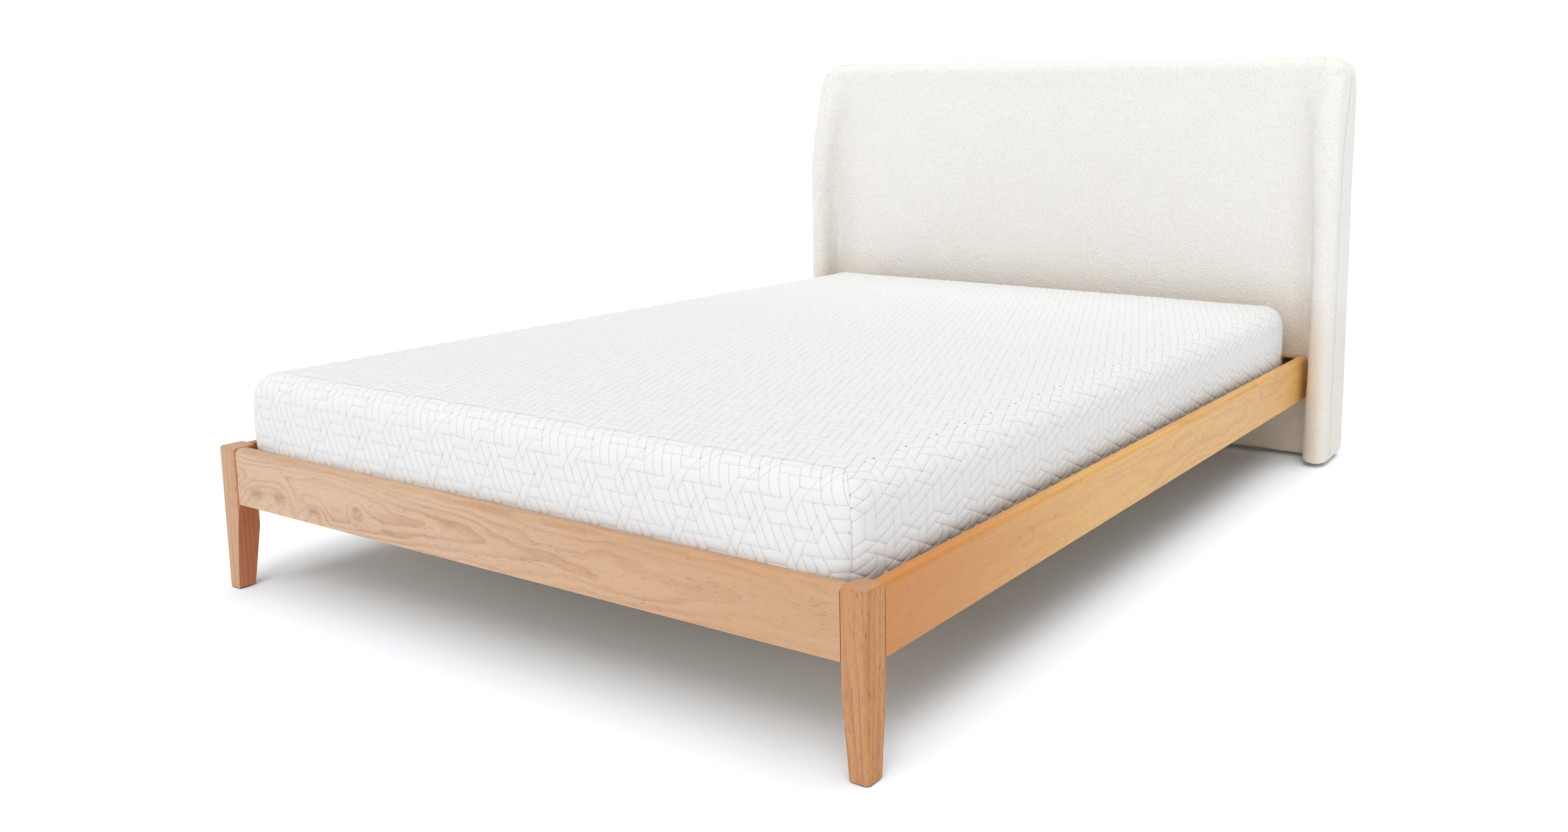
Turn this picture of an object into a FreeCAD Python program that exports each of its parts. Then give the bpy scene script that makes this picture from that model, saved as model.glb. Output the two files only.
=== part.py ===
import FreeCAD, Part
import math
import os

# Queen-size platform bed with an upholstered, winged headboard. Millimetres.
# +X is to the right seen from the foot, +Y runs from the foot to the head, +Z is up.
# The origin is on the floor, under the centre of the whole bed.
# Every right-hand piece is mirrored in X = 0 to give its left-hand partner.

# Driving dimensions of the whole bed
OVERALL_LENGTH = 2234.0
FRAME_WIDTH = 1612.0
FOOT_Y = -OVERALL_LENGTH / 2
BACK_Y = OVERALL_LENGTH / 2

# Fits and gaps
JOINT_GAP = 0.4
BODY_GAP = 0.3
SCREW_CLEARANCE = 0.1
THREAD_CLEARANCE = 0.08
BOLT_CLEARANCE = 0.3
BOLT_END_ROOM = 5.0
PLATE_CLEARANCE = 0.1
OVERCUT = 1.0
SOFT_HOLE_CLEARANCE = 1.0
SLEEVE_CLEARANCE = 0.05

# Headboard, outside
HEADBOARD_WIDTH = 1760.0
HEADBOARD_TOP = 1127.0
HEADBOARD_BOTTOM = 10.0
PANEL_THICKNESS = 94.0
WING_DEPTH = 189.0
WING_THICKNESS = 65.0
NOSE_RADIUS = 31.0
PANEL_WING_FILLET = 45.0
BACK_EDGE_RADIUS = 15.0
TOP_CORNER_RADIUS = 60.0
BOTTOM_CORNER_RADIUS = 12.0
BOTTOM_FRONT_RADIUS = 12.0
BOTTOM_BACK_RADIUS = 20.0
TOP_BACK_RADIUS = 25.0
SWEEP_START = 740.0
SWEEP_HEIGHT = 397.0
SEAM_Y = BACK_Y - 127.0
SEAM_RISE_START = 780.0
SEAM_MIDDLE = (BACK_Y - 87.0, 950.0)
SEAM_TOP_Y = BACK_Y - 25.0

# Headboard, inside
COVER_THICKNESS = 3.0
PADDING_INSET = COVER_THICKNESS + BODY_GAP
FRONT_FOAM_THICKNESS = 40.0
FRONT_BOARD_THICKNESS = 6.0
BACK_BOARD_THICKNESS = 5.0
TIMBER_DEPTH = 37.0
POST_WIDTH = 60.0
FRAME_RAIL_HEIGHT = 60.0
FIXING_RAIL_BOTTOM = 170.0
FIXING_RAIL_HEIGHT = 140.0
TIMBER_TOP = 1090.0
FOAM_SPLIT_X = 770.0
WING_CORE_THICKNESS = 18.0
WING_CORE_INSET = 32.0
WING_CORE_BOTTOM = 42.0
WING_CORE_INNER_X = 846.0

# Foot legs
LEG_SIZE = 51.0
LEG_FOOT = 34.0
LEG_TOP = 300.0
LEG_TAPER_TOP = 181.0
LEG_CORNER_RADIUS = 8.0
LEG_INNER_RADIUS = 18.0
LEG_TOP_RADIUS = 7.0
GLIDE_THICKNESS = 2.5
GLIDE_RADIUS = 14.0
GLIDE_NAIL_RADIUS = 1.2
GLIDE_NAIL_LENGTH = 12.0
GLIDE_NAIL_ROOM = 1.5

# Rails
RAIL_THICKNESS = 25.0
RAIL_BOTTOM = 181.0
RAIL_TOP = 297.0
RAIL_SHOW_RADIUS = 10.0
RAIL_INNER_RADIUS = 3.0
RAIL_LOWER_RADIUS = 2.0
FOOT_RAIL_SETBACK = 4.0
SIDE_RAIL_SETBACK = 3.0
HEAD_RAIL_CLEARANCE = 2.0
SIDE_RAIL_HEAD_CLEARANCE = 15.5
LEDGER_FOOT_GAP = 2.0
TENON_THICKNESS = 11.0
TENON_LENGTH = 20.0
TENON_SHOULDER = 20.0
MORTISE_CLEARANCE = 0.2

# Slat deck
LEDGER_SIZE = 30.0
LEDGER_TOP = 229.0
SLAT_COUNT = 13
SLAT_WIDTH = 89.0
SLAT_THICKNESS = 18.0
SLAT_END_GAP = 3.0
SLAT_FOOT_GAP = 28.0
SLAT_HEAD_GAP = 11.0
SLAT_EDGE_RADIUS = 3.0
BEAM_WIDTH = 45.0
BEAM_BOTTOM = 185.0
CENTRE_LEG_SIZE = 45.0
CENTRE_LEG_Y = 370.0
CENTRE_LEG_BOTTOM = 30.0
CENTRE_LEG_EDGE = 4.0
SLAT_TOP = LEDGER_TOP + SLAT_THICKNESS

# Levelling feet, metric 8 thread
LEVEL_SCREW_RADIUS = 4.0
LEVEL_SCREW_BOTTOM = 4.3
LEVEL_SCREW_TOP = 70.0
LEVEL_SCREW_ROOM = 84.0
LEVEL_PAD_RADIUS = 20.0
LEVEL_PAD_THICKNESS = 5.0
LEVEL_BOSS_RADIUS = 9.0
LEVEL_BOSS_TOP = 11.0
LEVEL_SOCKET_BOTTOM = 4.0
LEVEL_HEX_FLATS = 13.0
LEVEL_HEX_BOTTOM = 11.3
LEVEL_HEX_HEIGHT = 5.0

# Insert nuts, bolts and screws
NUT_RADIUS = 6.0
NUT_LENGTH = 18.0
NUT_FLANGE_RADIUS = 9.0
NUT_FLANGE_THICKNESS = 1.5
BOLT_RADIUS = 4.0
BOLT_HEAD_RADIUS = 6.5
BOLT_HEAD_HEIGHT = 6.0
HEAD_BOLT_LENGTH = 90.0
HEAD_BOLT_Z = 268.0
HEAD_BOLT_X = (-700.0, -250.0, 250.0, 700.0)
LEG_BOLT_LENGTH = 90.0
LEG_BOLT_ROOM = 4.0
COUNTERBORE_RADIUS = 7.0
COUNTERBORE_DEPTH = 7.0
SCREW_RADIUS = 2.0
SCREW_HEAD_RADIUS = 4.0
SCREW_HEAD_HEIGHT = 2.2
SLAT_SCREW_LENGTH = 33.0
LEDGER_SCREW_LENGTH = 44.0
BRACKET_SCREW_LENGTH = 16.0
PILOT_ROOM = 1.0
PILOT_RADIUS = SCREW_RADIUS + SCREW_CLEARANCE

# Steel fittings
STEEL_THICKNESS = 2.0
HOOK_PLATE_THICKNESS = 2.5
HOOK_PLATE_WIDTH = 15.0
HOOK_PLATE_BOTTOM = 194.0
HOOK_PLATE_HEIGHT = 90.0
HOOK_BLADE_THICKNESS = 3.0
HOOK_REACH = 12.0
HOOK_NECK = 4.5
HOOK_DROP = 8.0
HOOK_HEIGHT = 16.0
HOOK_SEATS = (215.0, 252.0)
SLOT_PLATE_THICKNESS = 3.0
SLOT_PLATE_MARGIN = 4.0
SLOT_CLEARANCE = 0.4
HOOK_POCKET_ROOM = 3.0
HOOK_POCKET_LOWER_ROOM = 2.0
CORNER_BRACKET_SIZE = 42.0
CORNER_BRACKET_BOTTOM = 250.0
CORNER_BRACKET_HEIGHT = 40.0
CORNER_SCREW_OUT = 26.0
HANGER_DEPTH = 40.0
HANGER_HEIGHT = 38.0
HANGER_FLANGE = 22.0
HANGER_SCREW_Z = (194.5, 211.6)

# Headboard glides
FOOT_STUD_RADIUS = 15.0
FOOT_STEM_RADIUS = 3.0
FOOT_STEM_LENGTH = 25.0
FOOT_EDGE = 2.0

# Mattress: a standard queen, 1524 by 2032
MATTRESS_WIDTH = 1524.0
MATTRESS_LENGTH = 2032.0
MATTRESS_FOOT_GAP = 30.0
MATTRESS_TOP = 455.0
MATTRESS_BOTTOM = SLAT_TOP + BODY_GAP
MATTRESS_CORNER = 52.0
MATTRESS_TOP_RADIUS = 50.0
MATTRESS_BOTTOM_RADIUS = 25.0
MATTRESS_COVER = 4.0
COMFORT_THICKNESS = 60.0

# Faces worked out from the dimensions above
HALF_FRAME = FRAME_WIDTH / 2
HALF_HEADBOARD = HEADBOARD_WIDTH / 2
PANEL_Y = BACK_Y - PANEL_THICKNESS
NOSE_Y = BACK_Y - WING_DEPTH
WING_INNER_X = HALF_HEADBOARD - WING_THICKNESS
FRONT_BOARD_Y = PANEL_Y + COVER_THICKNESS + FRONT_FOAM_THICKNESS
TIMBER_Y = FRONT_BOARD_Y + FRONT_BOARD_THICKNESS
BACK_BOARD_Y = TIMBER_Y + TIMBER_DEPTH
TIMBER_BOTTOM = HEADBOARD_BOTTOM + PADDING_INSET
LEG_INNER_X = HALF_FRAME - LEG_SIZE
LEG_REAR_Y = FOOT_Y + LEG_SIZE
FOOT_RAIL_Y = FOOT_Y + FOOT_RAIL_SETBACK
FOOT_RAIL_INNER_Y = FOOT_RAIL_Y + RAIL_THICKNESS
SIDE_RAIL_X = HALF_FRAME - SIDE_RAIL_SETBACK
SIDE_RAIL_INNER_X = SIDE_RAIL_X - RAIL_THICKNESS
SIDE_RAIL_FOOT_Y = LEG_REAR_Y + JOINT_GAP
SIDE_RAIL_HEAD_Y = PANEL_Y - SIDE_RAIL_HEAD_CLEARANCE
HEAD_RAIL_REAR_Y = PANEL_Y - HEAD_RAIL_CLEARANCE
HEAD_RAIL_Y = HEAD_RAIL_REAR_Y - RAIL_THICKNESS
LEDGER_FOOT_Y = LEG_REAR_Y + LEDGER_FOOT_GAP
LEDGER_HEAD_Y = HEAD_RAIL_Y - JOINT_GAP
LEDGER_X = SIDE_RAIL_INNER_X - LEDGER_SIZE / 2
LEDGER_INNER_X = SIDE_RAIL_INNER_X - LEDGER_SIZE
SLAT_HALF_LENGTH = SIDE_RAIL_INNER_X - SLAT_END_GAP
SLAT_FIRST_Y = FOOT_RAIL_INNER_Y + SLAT_FOOT_GAP + SLAT_WIDTH / 2
SLAT_LAST_Y = HEAD_RAIL_Y - SLAT_HEAD_GAP - SLAT_WIDTH / 2
SLAT_PITCH = (SLAT_LAST_Y - SLAT_FIRST_Y) / (SLAT_COUNT - 1)
HOOK_X = (SIDE_RAIL_X + SIDE_RAIL_INNER_X) / 2
SLAT_YS = [SLAT_FIRST_Y + i * SLAT_PITCH for i in range(SLAT_COUNT)]
FAR = 3000.0

X_AXIS = FreeCAD.Vector(1, 0, 0)
Y_AXIS = FreeCAD.Vector(0, 1, 0)
Z_AXIS = FreeCAD.Vector(0, 0, 1)
ORIGIN = FreeCAD.Vector(0, 0, 0)


# ---------------------------------------------------------------- building blocks

def in_plane(plane, a, b, c):
    """The point (a, b) of a plane, at c along the plane's normal."""
    if plane == "XY":
        return FreeCAD.Vector(a, b, c)
    if plane == "YZ":
        return FreeCAD.Vector(c, a, b)
    return FreeCAD.Vector(a, c, b)


def normal_of(plane):
    return {"XY": Z_AXIS, "YZ": X_AXIS, "XZ": Y_AXIS}[plane]


def rounded_outline(plane, corners, level):
    """A closed wire through corners (a, b, radius), each rounded by a tangent arc."""
    starts = []
    ends = []
    middles = []
    for i, (a, b, radius) in enumerate(corners):
        here = in_plane(plane, a, b, level)
        before = in_plane(plane, *corners[i - 1][:2], level)
        after = in_plane(plane, *corners[(i + 1) % len(corners)][:2], level)
        to_before = (before - here).normalize()
        to_after = (after - here).normalize()
        half_angle = to_before.getAngle(to_after) / 2
        reach = radius / math.tan(half_angle)
        bisector = (to_before + to_after).normalize()
        starts.append(here + to_before * reach)
        ends.append(here + to_after * reach)
        middles.append(here + bisector * (radius / math.sin(half_angle) - radius))
    edges = []
    for i, (_, _, radius) in enumerate(corners):
        if radius > 0:
            edges.append(Part.Arc(starts[i], middles[i], ends[i]).toShape())
        following = starts[(i + 1) % len(corners)]
        if ends[i].distanceToPoint(following) > 1e-6:
            edges.append(Part.LineSegment(ends[i], following).toShape())
    return Part.Wire(edges)


def prism(plane, corners, low, high):
    """A straight solid with a rounded outline, from low to high along the plane's normal."""
    face = Part.Face(rounded_outline(plane, corners, low))
    return face.extrude(normal_of(plane) * (high - low))


def box(x0, x1, y0, y1, z0, z1):
    return Part.makeBox(x1 - x0, y1 - y0, z1 - z0, FreeCAD.Vector(x0, y0, z0))


def rod(radius, start, axis, length):
    return Part.makeCylinder(radius, length, FreeCAD.Vector(*start), axis)


def mirrored(shape):
    return shape.mirror(ORIGIN, X_AXIS)


def both_sides(shapes):
    return shapes + [mirrored(s) for s in shapes]


def rectangle(a0, a1, b0, b1, radius):
    """Corners of a rectangle with one radius all round."""
    return [(a0, b0, radius), (a1, b0, radius), (a1, b1, radius), (a0, b1, radius)]


def save(node, shape):
    """Writes a node's solids to parts/NODE.step."""
    shapes = shape if isinstance(shape, list) else [shape]
    solids = [solid for s in shapes for solid in s.Solids]
    whole = solids[0] if len(solids) == 1 else Part.makeCompound(solids)
    state = "ok" if solids and all(s.isValid() for s in solids) else "INVALID"
    litres = sum(s.Volume for s in solids) / 1e6
    print(f"{node:28s} {len(solids):3d} solid(s) {litres:10.4f} litres {state}")
    whole.exportStep(f"parts/{node}.step")


# ---------------------------------------------------------------- headboard

def sweep_prism(inset, low_x, high_x):
    """The headboard seen from the side: upright below, then the front edge sweeps back in
    a quarter ellipse. inset moves every face inwards."""
    front = NOSE_Y + inset
    back = BACK_Y - inset
    bottom = HEADBOARD_BOTTOM + inset
    top = HEADBOARD_TOP - inset
    front_radius = max(BOTTOM_FRONT_RADIUS - inset, 1.0)
    back_radius = max(BOTTOM_BACK_RADIUS - inset, 1.0)
    top_radius = max(TOP_BACK_RADIUS - inset, 1.0)
    centre = in_plane("YZ", BACK_Y, SWEEP_START, low_x)
    rise = SWEEP_HEIGHT - inset
    depth = WING_DEPTH - inset
    ellipse = Part.Ellipse(centre + Z_AXIS * rise, centre - Y_AXIS * depth, centre)
    stop = math.acos((top - SWEEP_START) / rise)
    sweep = ellipse.toShape(stop, math.pi / 2)
    sweep_end_y = BACK_Y - depth * math.sin(stop)
    rest = [
        (sweep_end_y, top), (back - top_radius, top),
        (back, top - top_radius), (back, bottom + back_radius),
        (back - back_radius, bottom), (front + front_radius, bottom),
        (front, bottom + front_radius), (front, SWEEP_START),
    ]
    points = [in_plane("YZ", y, z, low_x) for y, z in rest]
    eased = {
        1: (back - top_radius, top - top_radius, top_radius, math.pi / 4),
        3: (back - back_radius, bottom + back_radius, back_radius, -math.pi / 4),
        5: (front + front_radius, bottom + front_radius, front_radius, -3 * math.pi / 4),
    }
    edges = [sweep]
    for i in range(len(points) - 1):
        if i in eased:
            y, z, radius, angle = eased[i]
            middle = (y + radius * math.cos(angle), z + radius * math.sin(angle))
            via = in_plane("YZ", *middle, low_x)
            edges.append(Part.Arc(points[i], via, points[i + 1]).toShape())
        else:
            edges.append(Part.LineSegment(points[i], points[i + 1]).toShape())
    outline = Part.Wire(Part.__sortEdges__(edges))
    return Part.Face(outline).extrude(X_AXIS * (high_x - low_x))


def headboard_body(inset):
    """The whole headboard as one solid, with every face moved inwards by inset."""
    outer_x = HALF_HEADBOARD - inset
    wing_x = WING_INNER_X + inset
    back = BACK_Y - inset
    front = NOSE_Y + inset
    panel = PANEL_Y + inset
    nose = NOSE_RADIUS - inset
    edge = BACK_EDGE_RADIUS - inset
    fillet = PANEL_WING_FILLET + inset
    right = [
        (wing_x, panel, fillet), (wing_x, front, nose),
        (outer_x, front, nose), (outer_x, back, edge),
    ]
    left = [(-x, y, radius) for x, y, radius in reversed(right)]
    bottom = HEADBOARD_BOTTOM + inset
    top = HEADBOARD_TOP - inset
    plan = prism("XY", right + left, bottom, top)
    upper = TOP_CORNER_RADIUS - inset
    lower = BOTTOM_CORNER_RADIUS - inset
    elevation = [
        (-outer_x, bottom, lower), (outer_x, bottom, lower),
        (outer_x, top, upper), (-outer_x, top, upper),
    ]
    front_view = prism("XZ", elevation, front, back)
    return plan.common(sweep_prism(inset, -outer_x, outer_x)).common(front_view)


def front_of_seam():
    """Everything in front of the sewn seam, which runs up the side and back over the top."""
    low = in_plane("YZ", SEAM_Y, 0, -FAR)
    turn = in_plane("YZ", SEAM_Y, SEAM_RISE_START, -FAR)
    middle = in_plane("YZ", *SEAM_MIDDLE, -FAR)
    high = in_plane("YZ", SEAM_TOP_Y, HEADBOARD_TOP, -FAR)
    above = high + Z_AXIS * FAR
    far_above = in_plane("YZ", -FAR, HEADBOARD_TOP + FAR, -FAR)
    far_low = in_plane("YZ", -FAR, 0, -FAR)
    edges = [
        Part.LineSegment(low, turn).toShape(),
        Part.Arc(turn, middle, high).toShape(),
        Part.LineSegment(high, above).toShape(),
        Part.LineSegment(above, far_above).toShape(),
        Part.LineSegment(far_above, far_low).toShape(),
        Part.LineSegment(far_low, low).toShape(),
    ]
    return Part.Face(Part.Wire(edges)).extrude(X_AXIS * 2 * FAR)


def bolt_row(radius, start_y, length):
    """Cylinders on the axes of the bolts that join the head rail to the headboard."""
    return [rod(radius, (x, start_y, HEAD_BOLT_Z), Y_AXIS, length) for x in HEAD_BOLT_X]


def glide_centres():
    y = TIMBER_Y + TIMBER_DEPTH / 2
    post_x = WING_CORE_INNER_X - POST_WIDTH / 2
    return [(-post_x, y), (0.0, y), (post_x, y)]


def stem_holes(clearance):
    radius = FOOT_STEM_RADIUS + clearance
    start = HEADBOARD_BOTTOM - OVERCUT
    depth = FOOT_STEM_LENGTH + 2 * OVERCUT
    return [rod(radius, (x, y, start), Z_AXIS, depth) for x, y in glide_centres()]


def soft_bolt_holes():
    radius = BOLT_RADIUS + SOFT_HOLE_CLEARANCE
    return bolt_row(radius, PANEL_Y - OVERCUT, PANEL_THICKNESS / 2)


def make_headboard_covers():
    """Front cover, boxing covers on the sides behind the seams, and the back lining."""
    skin = headboard_body(0).cut(headboard_body(COVER_THICKNESS))
    between_sides = box(-WING_CORE_INNER_X, WING_CORE_INNER_X, -FAR, SEAM_TOP_Y, -FAR, FAR)
    forward = front_of_seam().fuse(between_sides)
    stems = stem_holes(SOFT_HOLE_CLEARANCE)
    save("headboard_front_cover", skin.common(forward).cut(soft_bolt_holes()).cut(stems))
    rear = skin.cut(forward).cut(stems)
    side_cover = rear.common(box(WING_CORE_INNER_X, FAR, -FAR, FAR, -FAR, FAR))
    save("headboard_side_cover_right", side_cover)
    save("headboard_side_cover_left", mirrored(side_cover))
    middle_zone = box(-WING_CORE_INNER_X, WING_CORE_INNER_X, -FAR, FAR, -FAR, FAR)
    save("headboard_back_cover", rear.common(middle_zone))


def make_headboard_padding(padding, wing_core):
    timber_zone = box(-WING_CORE_INNER_X, WING_CORE_INNER_X, FRONT_BOARD_Y, FAR, -FAR, TIMBER_TOP)
    panel_zone = box(-FOAM_SPLIT_X, FOAM_SPLIT_X, -FAR, FAR, -FAR, FAR)
    wing_zone = box(FOAM_SPLIT_X, FAR, -FAR, FAR, -FAR, FAR)
    panel_foam = padding.common(panel_zone).cut(timber_zone)
    save("headboard_foam", panel_foam.cut(soft_bolt_holes()))
    wing_foam = padding.common(wing_zone).cut(timber_zone).cut(wing_core)
    save("wing_foam_right", wing_foam)
    save("wing_foam_left", mirrored(wing_foam))


def make_headboard_frame(padding):
    core_x1 = WING_CORE_INNER_X + WING_CORE_THICKNESS
    core_zone = box(WING_CORE_INNER_X, core_x1, -FAR, BACK_Y - PADDING_INSET, WING_CORE_BOTTOM, FAR)
    wing_core = sweep_prism(WING_CORE_INSET, WING_CORE_INNER_X, core_x1).common(core_zone)
    save("wing_core_right", wing_core)
    save("wing_core_left", mirrored(wing_core))

    post_x = WING_CORE_INNER_X - POST_WIDTH
    post = box(post_x, WING_CORE_INNER_X, TIMBER_Y, BACK_BOARD_Y, TIMBER_BOTTOM, TIMBER_TOP)
    stems = stem_holes(SCREW_CLEARANCE)
    post = post.common(padding).cut(stems)
    save("headboard_post_right", post)
    save("headboard_post_left", mirrored(post))

    def cross_rail(bottom, height):
        return box(-post_x, post_x, TIMBER_Y, BACK_BOARD_Y, bottom, bottom + height)

    save("headboard_top_rail", cross_rail(TIMBER_TOP - FRAME_RAIL_HEIGHT, FRAME_RAIL_HEIGHT))
    bottom_rail = cross_rail(TIMBER_BOTTOM, FRAME_RAIL_HEIGHT).common(padding)
    save("headboard_bottom_rail", bottom_rail.cut(stems))
    fixing_rail = cross_rail(FIXING_RAIL_BOTTOM, FIXING_RAIL_HEIGHT)
    loose_bolt = BOLT_RADIUS + BOLT_CLEARANCE
    fixing_rail = fixing_rail.cut(bolt_row(NUT_RADIUS + SLEEVE_CLEARANCE, TIMBER_Y, NUT_LENGTH))
    fixing_rail = fixing_rail.cut(bolt_row(loose_bolt, TIMBER_Y, TIMBER_DEPTH - BOLT_END_ROOM))
    save("headboard_fixing_rail", fixing_rail)

    def sheet(front, thickness):
        half = WING_CORE_INNER_X
        return box(-half, half, front, front + thickness, TIMBER_BOTTOM, TIMBER_TOP)

    front_board = sheet(FRONT_BOARD_Y, FRONT_BOARD_THICKNESS)
    bolt_holes = bolt_row(loose_bolt, FRONT_BOARD_Y - OVERCUT, PANEL_THICKNESS)
    save("headboard_front_board", front_board.cut(bolt_holes))
    back_board = sheet(BACK_BOARD_Y, BACK_BOARD_THICKNESS)
    save("headboard_back_board", back_board.common(padding))
    return wing_core


def make_headboard_hardware():
    sleeves = bolt_row(NUT_RADIUS, TIMBER_Y, NUT_LENGTH)
    bores = bolt_row(BOLT_RADIUS + THREAD_CLEARANCE, TIMBER_Y, NUT_LENGTH)
    save("headboard_insert_nuts", [s.cut(b) for s, b in zip(sleeves, bores)])
    glides = []
    for x, y in glide_centres():
        disc = rod(FOOT_STUD_RADIUS, (x, y, 0), Z_AXIS, HEADBOARD_BOTTOM)
        disc = disc.makeFillet(FOOT_EDGE, [e for e in disc.Edges if e.BoundBox.ZMax < 1e-6])
        stem = rod(FOOT_STEM_RADIUS, (x, y, HEADBOARD_BOTTOM), Z_AXIS, FOOT_STEM_LENGTH)
        glides.append(disc.fuse(stem))
    save("headboard_glides", glides)


# ---------------------------------------------------------------- wooden bed frame

def slot_plate_recess(margin):
    """The space of one slotted plate let into the rear face of the right-hand leg."""
    half = HOOK_PLATE_WIDTH / 2 + margin
    front = LEG_REAR_Y - SLOT_PLATE_THICKNESS - margin
    bottom = HOOK_PLATE_BOTTOM - SLOT_PLATE_MARGIN - margin
    top = HOOK_PLATE_BOTTOM + HOOK_PLATE_HEIGHT + SLOT_PLATE_MARGIN + margin
    return box(HOOK_X - half, HOOK_X + half, front, LEG_REAR_Y, bottom, top)


def hook_pocket(seat):
    """Room in the leg behind one slot, where the hook drops on to the slotted plate."""
    left = HOOK_X - HOOK_BLADE_THICKNESS
    right = HOOK_X + HOOK_BLADE_THICKNESS
    front = LEG_REAR_Y - HOOK_REACH - HOOK_POCKET_ROOM
    bottom = seat - HOOK_DROP - HOOK_POCKET_LOWER_ROOM
    top = seat + HOOK_HEIGHT + HOOK_DROP + OVERCUT
    return box(left, right, front, LEG_REAR_Y, bottom, top)


def make_foot_legs():
    """Square legs, plain beside the rails. Below them the two inner faces taper."""
    outline = [
        (HALF_FRAME, FOOT_Y, LEG_CORNER_RADIUS), (HALF_FRAME, LEG_REAR_Y, LEG_CORNER_RADIUS),
        (LEG_INNER_X, LEG_REAR_Y, LEG_INNER_RADIUS), (LEG_INNER_X, FOOT_Y, LEG_CORNER_RADIUS),
    ]
    leg = prism("XY", outline, GLIDE_THICKNESS, LEG_TOP)
    top_edges = [e for e in leg.Edges if e.BoundBox.ZMin > LEG_TOP - 1e-3]
    leg = leg.makeFillet(LEG_TOP_RADIUS, top_edges)
    taper = LEG_SIZE - LEG_FOOT
    inner_wedge = [
        (LEG_INNER_X, LEG_TAPER_TOP, 0), (LEG_INNER_X + taper, 0, 0), (LEG_INNER_X - taper, 0, 0),
        (LEG_INNER_X - taper, LEG_TAPER_TOP, 0),
    ]
    rear_wedge = [
        (LEG_REAR_Y, LEG_TAPER_TOP, 0), (LEG_REAR_Y - taper, 0, 0), (LEG_REAR_Y + taper, 0, 0),
        (LEG_REAR_Y + taper, LEG_TAPER_TOP, 0),
    ]
    leg = leg.cut(prism("XZ", inner_wedge, FOOT_Y - OVERCUT, LEG_REAR_Y + OVERCUT))
    leg = leg.cut(prism("YZ", rear_wedge, LEG_INNER_X - OVERCUT, HALF_FRAME + OVERCUT))
    leg = leg.cut(tenon(MORTISE_CLEARANCE))
    leg = leg.cut(slot_plate_recess(PLATE_CLEARANCE))
    for seat in HOOK_SEATS:
        leg = leg.cut(hook_pocket(seat))
    centre = (HALF_FRAME - LEG_FOOT / 2, FOOT_Y + LEG_FOOT / 2)
    nail_room = GLIDE_THICKNESS + GLIDE_NAIL_LENGTH + GLIDE_NAIL_ROOM
    leg = leg.cut(rod(GLIDE_NAIL_RADIUS + SCREW_CLEARANCE, (*centre, 0), Z_AXIS, nail_room))
    save("foot_leg_right", leg)
    save("foot_leg_left", mirrored(leg))

    glide = rod(GLIDE_RADIUS, (*centre, 0), Z_AXIS, GLIDE_THICKNESS)
    nail = rod(GLIDE_NAIL_RADIUS, (*centre, GLIDE_THICKNESS), Z_AXIS, GLIDE_NAIL_LENGTH)
    save("leg_glides", both_sides([glide.fuse(nail)]))


def tenon(clearance):
    """The tongue at both ends of the foot rail, or with a clearance the mortise for it."""
    middle_y = FOOT_RAIL_Y + RAIL_THICKNESS / 2
    half = TENON_THICKNESS / 2 + clearance
    reach = LEG_INNER_X + TENON_LENGTH + clearance
    return box(
        -reach, reach, middle_y - half, middle_y + half,
        RAIL_BOTTOM + TENON_SHOULDER - clearance, RAIL_TOP - TENON_SHOULDER + clearance,
    )


def rail_section(outer, inner, outer_top_radius):
    """Cross-section of a rail: outer is the show face, and its upper edge is rounded most."""
    return [
        (outer, RAIL_BOTTOM, RAIL_LOWER_RADIUS), (outer, RAIL_TOP, outer_top_radius),
        (inner, RAIL_TOP, RAIL_INNER_RADIUS), (inner, RAIL_BOTTOM, RAIL_LOWER_RADIUS),
    ]


def hanger_screws(radius, length, head):
    """Screws through the flanges of the two beam hangers, into the foot and head rails."""
    x = BEAM_WIDTH / 2 + STEEL_THICKNESS + HANGER_FLANGE / 2
    made = []
    for z in HANGER_SCREW_Z:
        for side in (-x, x):
            foot_face = (side, FOOT_RAIL_INNER_Y + STEEL_THICKNESS, z)
            head_face = (side, HEAD_RAIL_Y - STEEL_THICKNESS, z)
            made.append(pan_screw(radius, length, head, foot_face, -Y_AXIS))
            made.append(pan_screw(radius, length, head, head_face, Y_AXIS))
    return made


def corner_screws(radius, length, head):
    """Screws through the angle brackets, into the side rails and the head rail."""
    z = CORNER_BRACKET_BOTTOM + CORNER_BRACKET_HEIGHT / 2
    side_seat = (SIDE_RAIL_INNER_X - STEEL_THICKNESS, HEAD_RAIL_Y - CORNER_SCREW_OUT, z)
    head_seat = (SIDE_RAIL_INNER_X - CORNER_SCREW_OUT, HEAD_RAIL_Y - STEEL_THICKNESS, z)
    into_side = pan_screw(radius, length, head, side_seat, X_AXIS)
    into_head = pan_screw(radius, length, head, head_seat, Y_AXIS)
    return both_sides([into_side, into_head])


def pan_screw(radius, length, head, seat, direction):
    """A screw driven along direction, with its head resting at seat. head False leaves the
    head off, for the hole."""
    shank = rod(radius, seat, direction, length)
    if not head:
        return shank
    cap = rod(SCREW_HEAD_RADIUS, seat, -direction, SCREW_HEAD_HEIGHT)
    return shank.fuse(cap)


def flush_screw(radius, length, seat, direction):
    """A countersunk screw with the top of its head at seat, or the hole for it."""
    grow = radius - SCREW_RADIUS
    head_radius = SCREW_HEAD_RADIUS + grow
    depth = head_radius - radius
    cone = Part.makeCone(head_radius, radius, depth, FreeCAD.Vector(*seat), direction)
    return rod(radius, seat, direction, length).fuse(cone)


def ledger_screws(radius, length):
    """Screws through the right-hand ledger into the side rail, between the slat screws."""
    z = LEDGER_TOP - LEDGER_SIZE / 2
    ys = [y + SLAT_PITCH / 2 for y in SLAT_YS[:-1:2]]
    return [flush_screw(radius, length, (LEDGER_INNER_X, y, z), X_AXIS) for y in ys]


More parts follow.
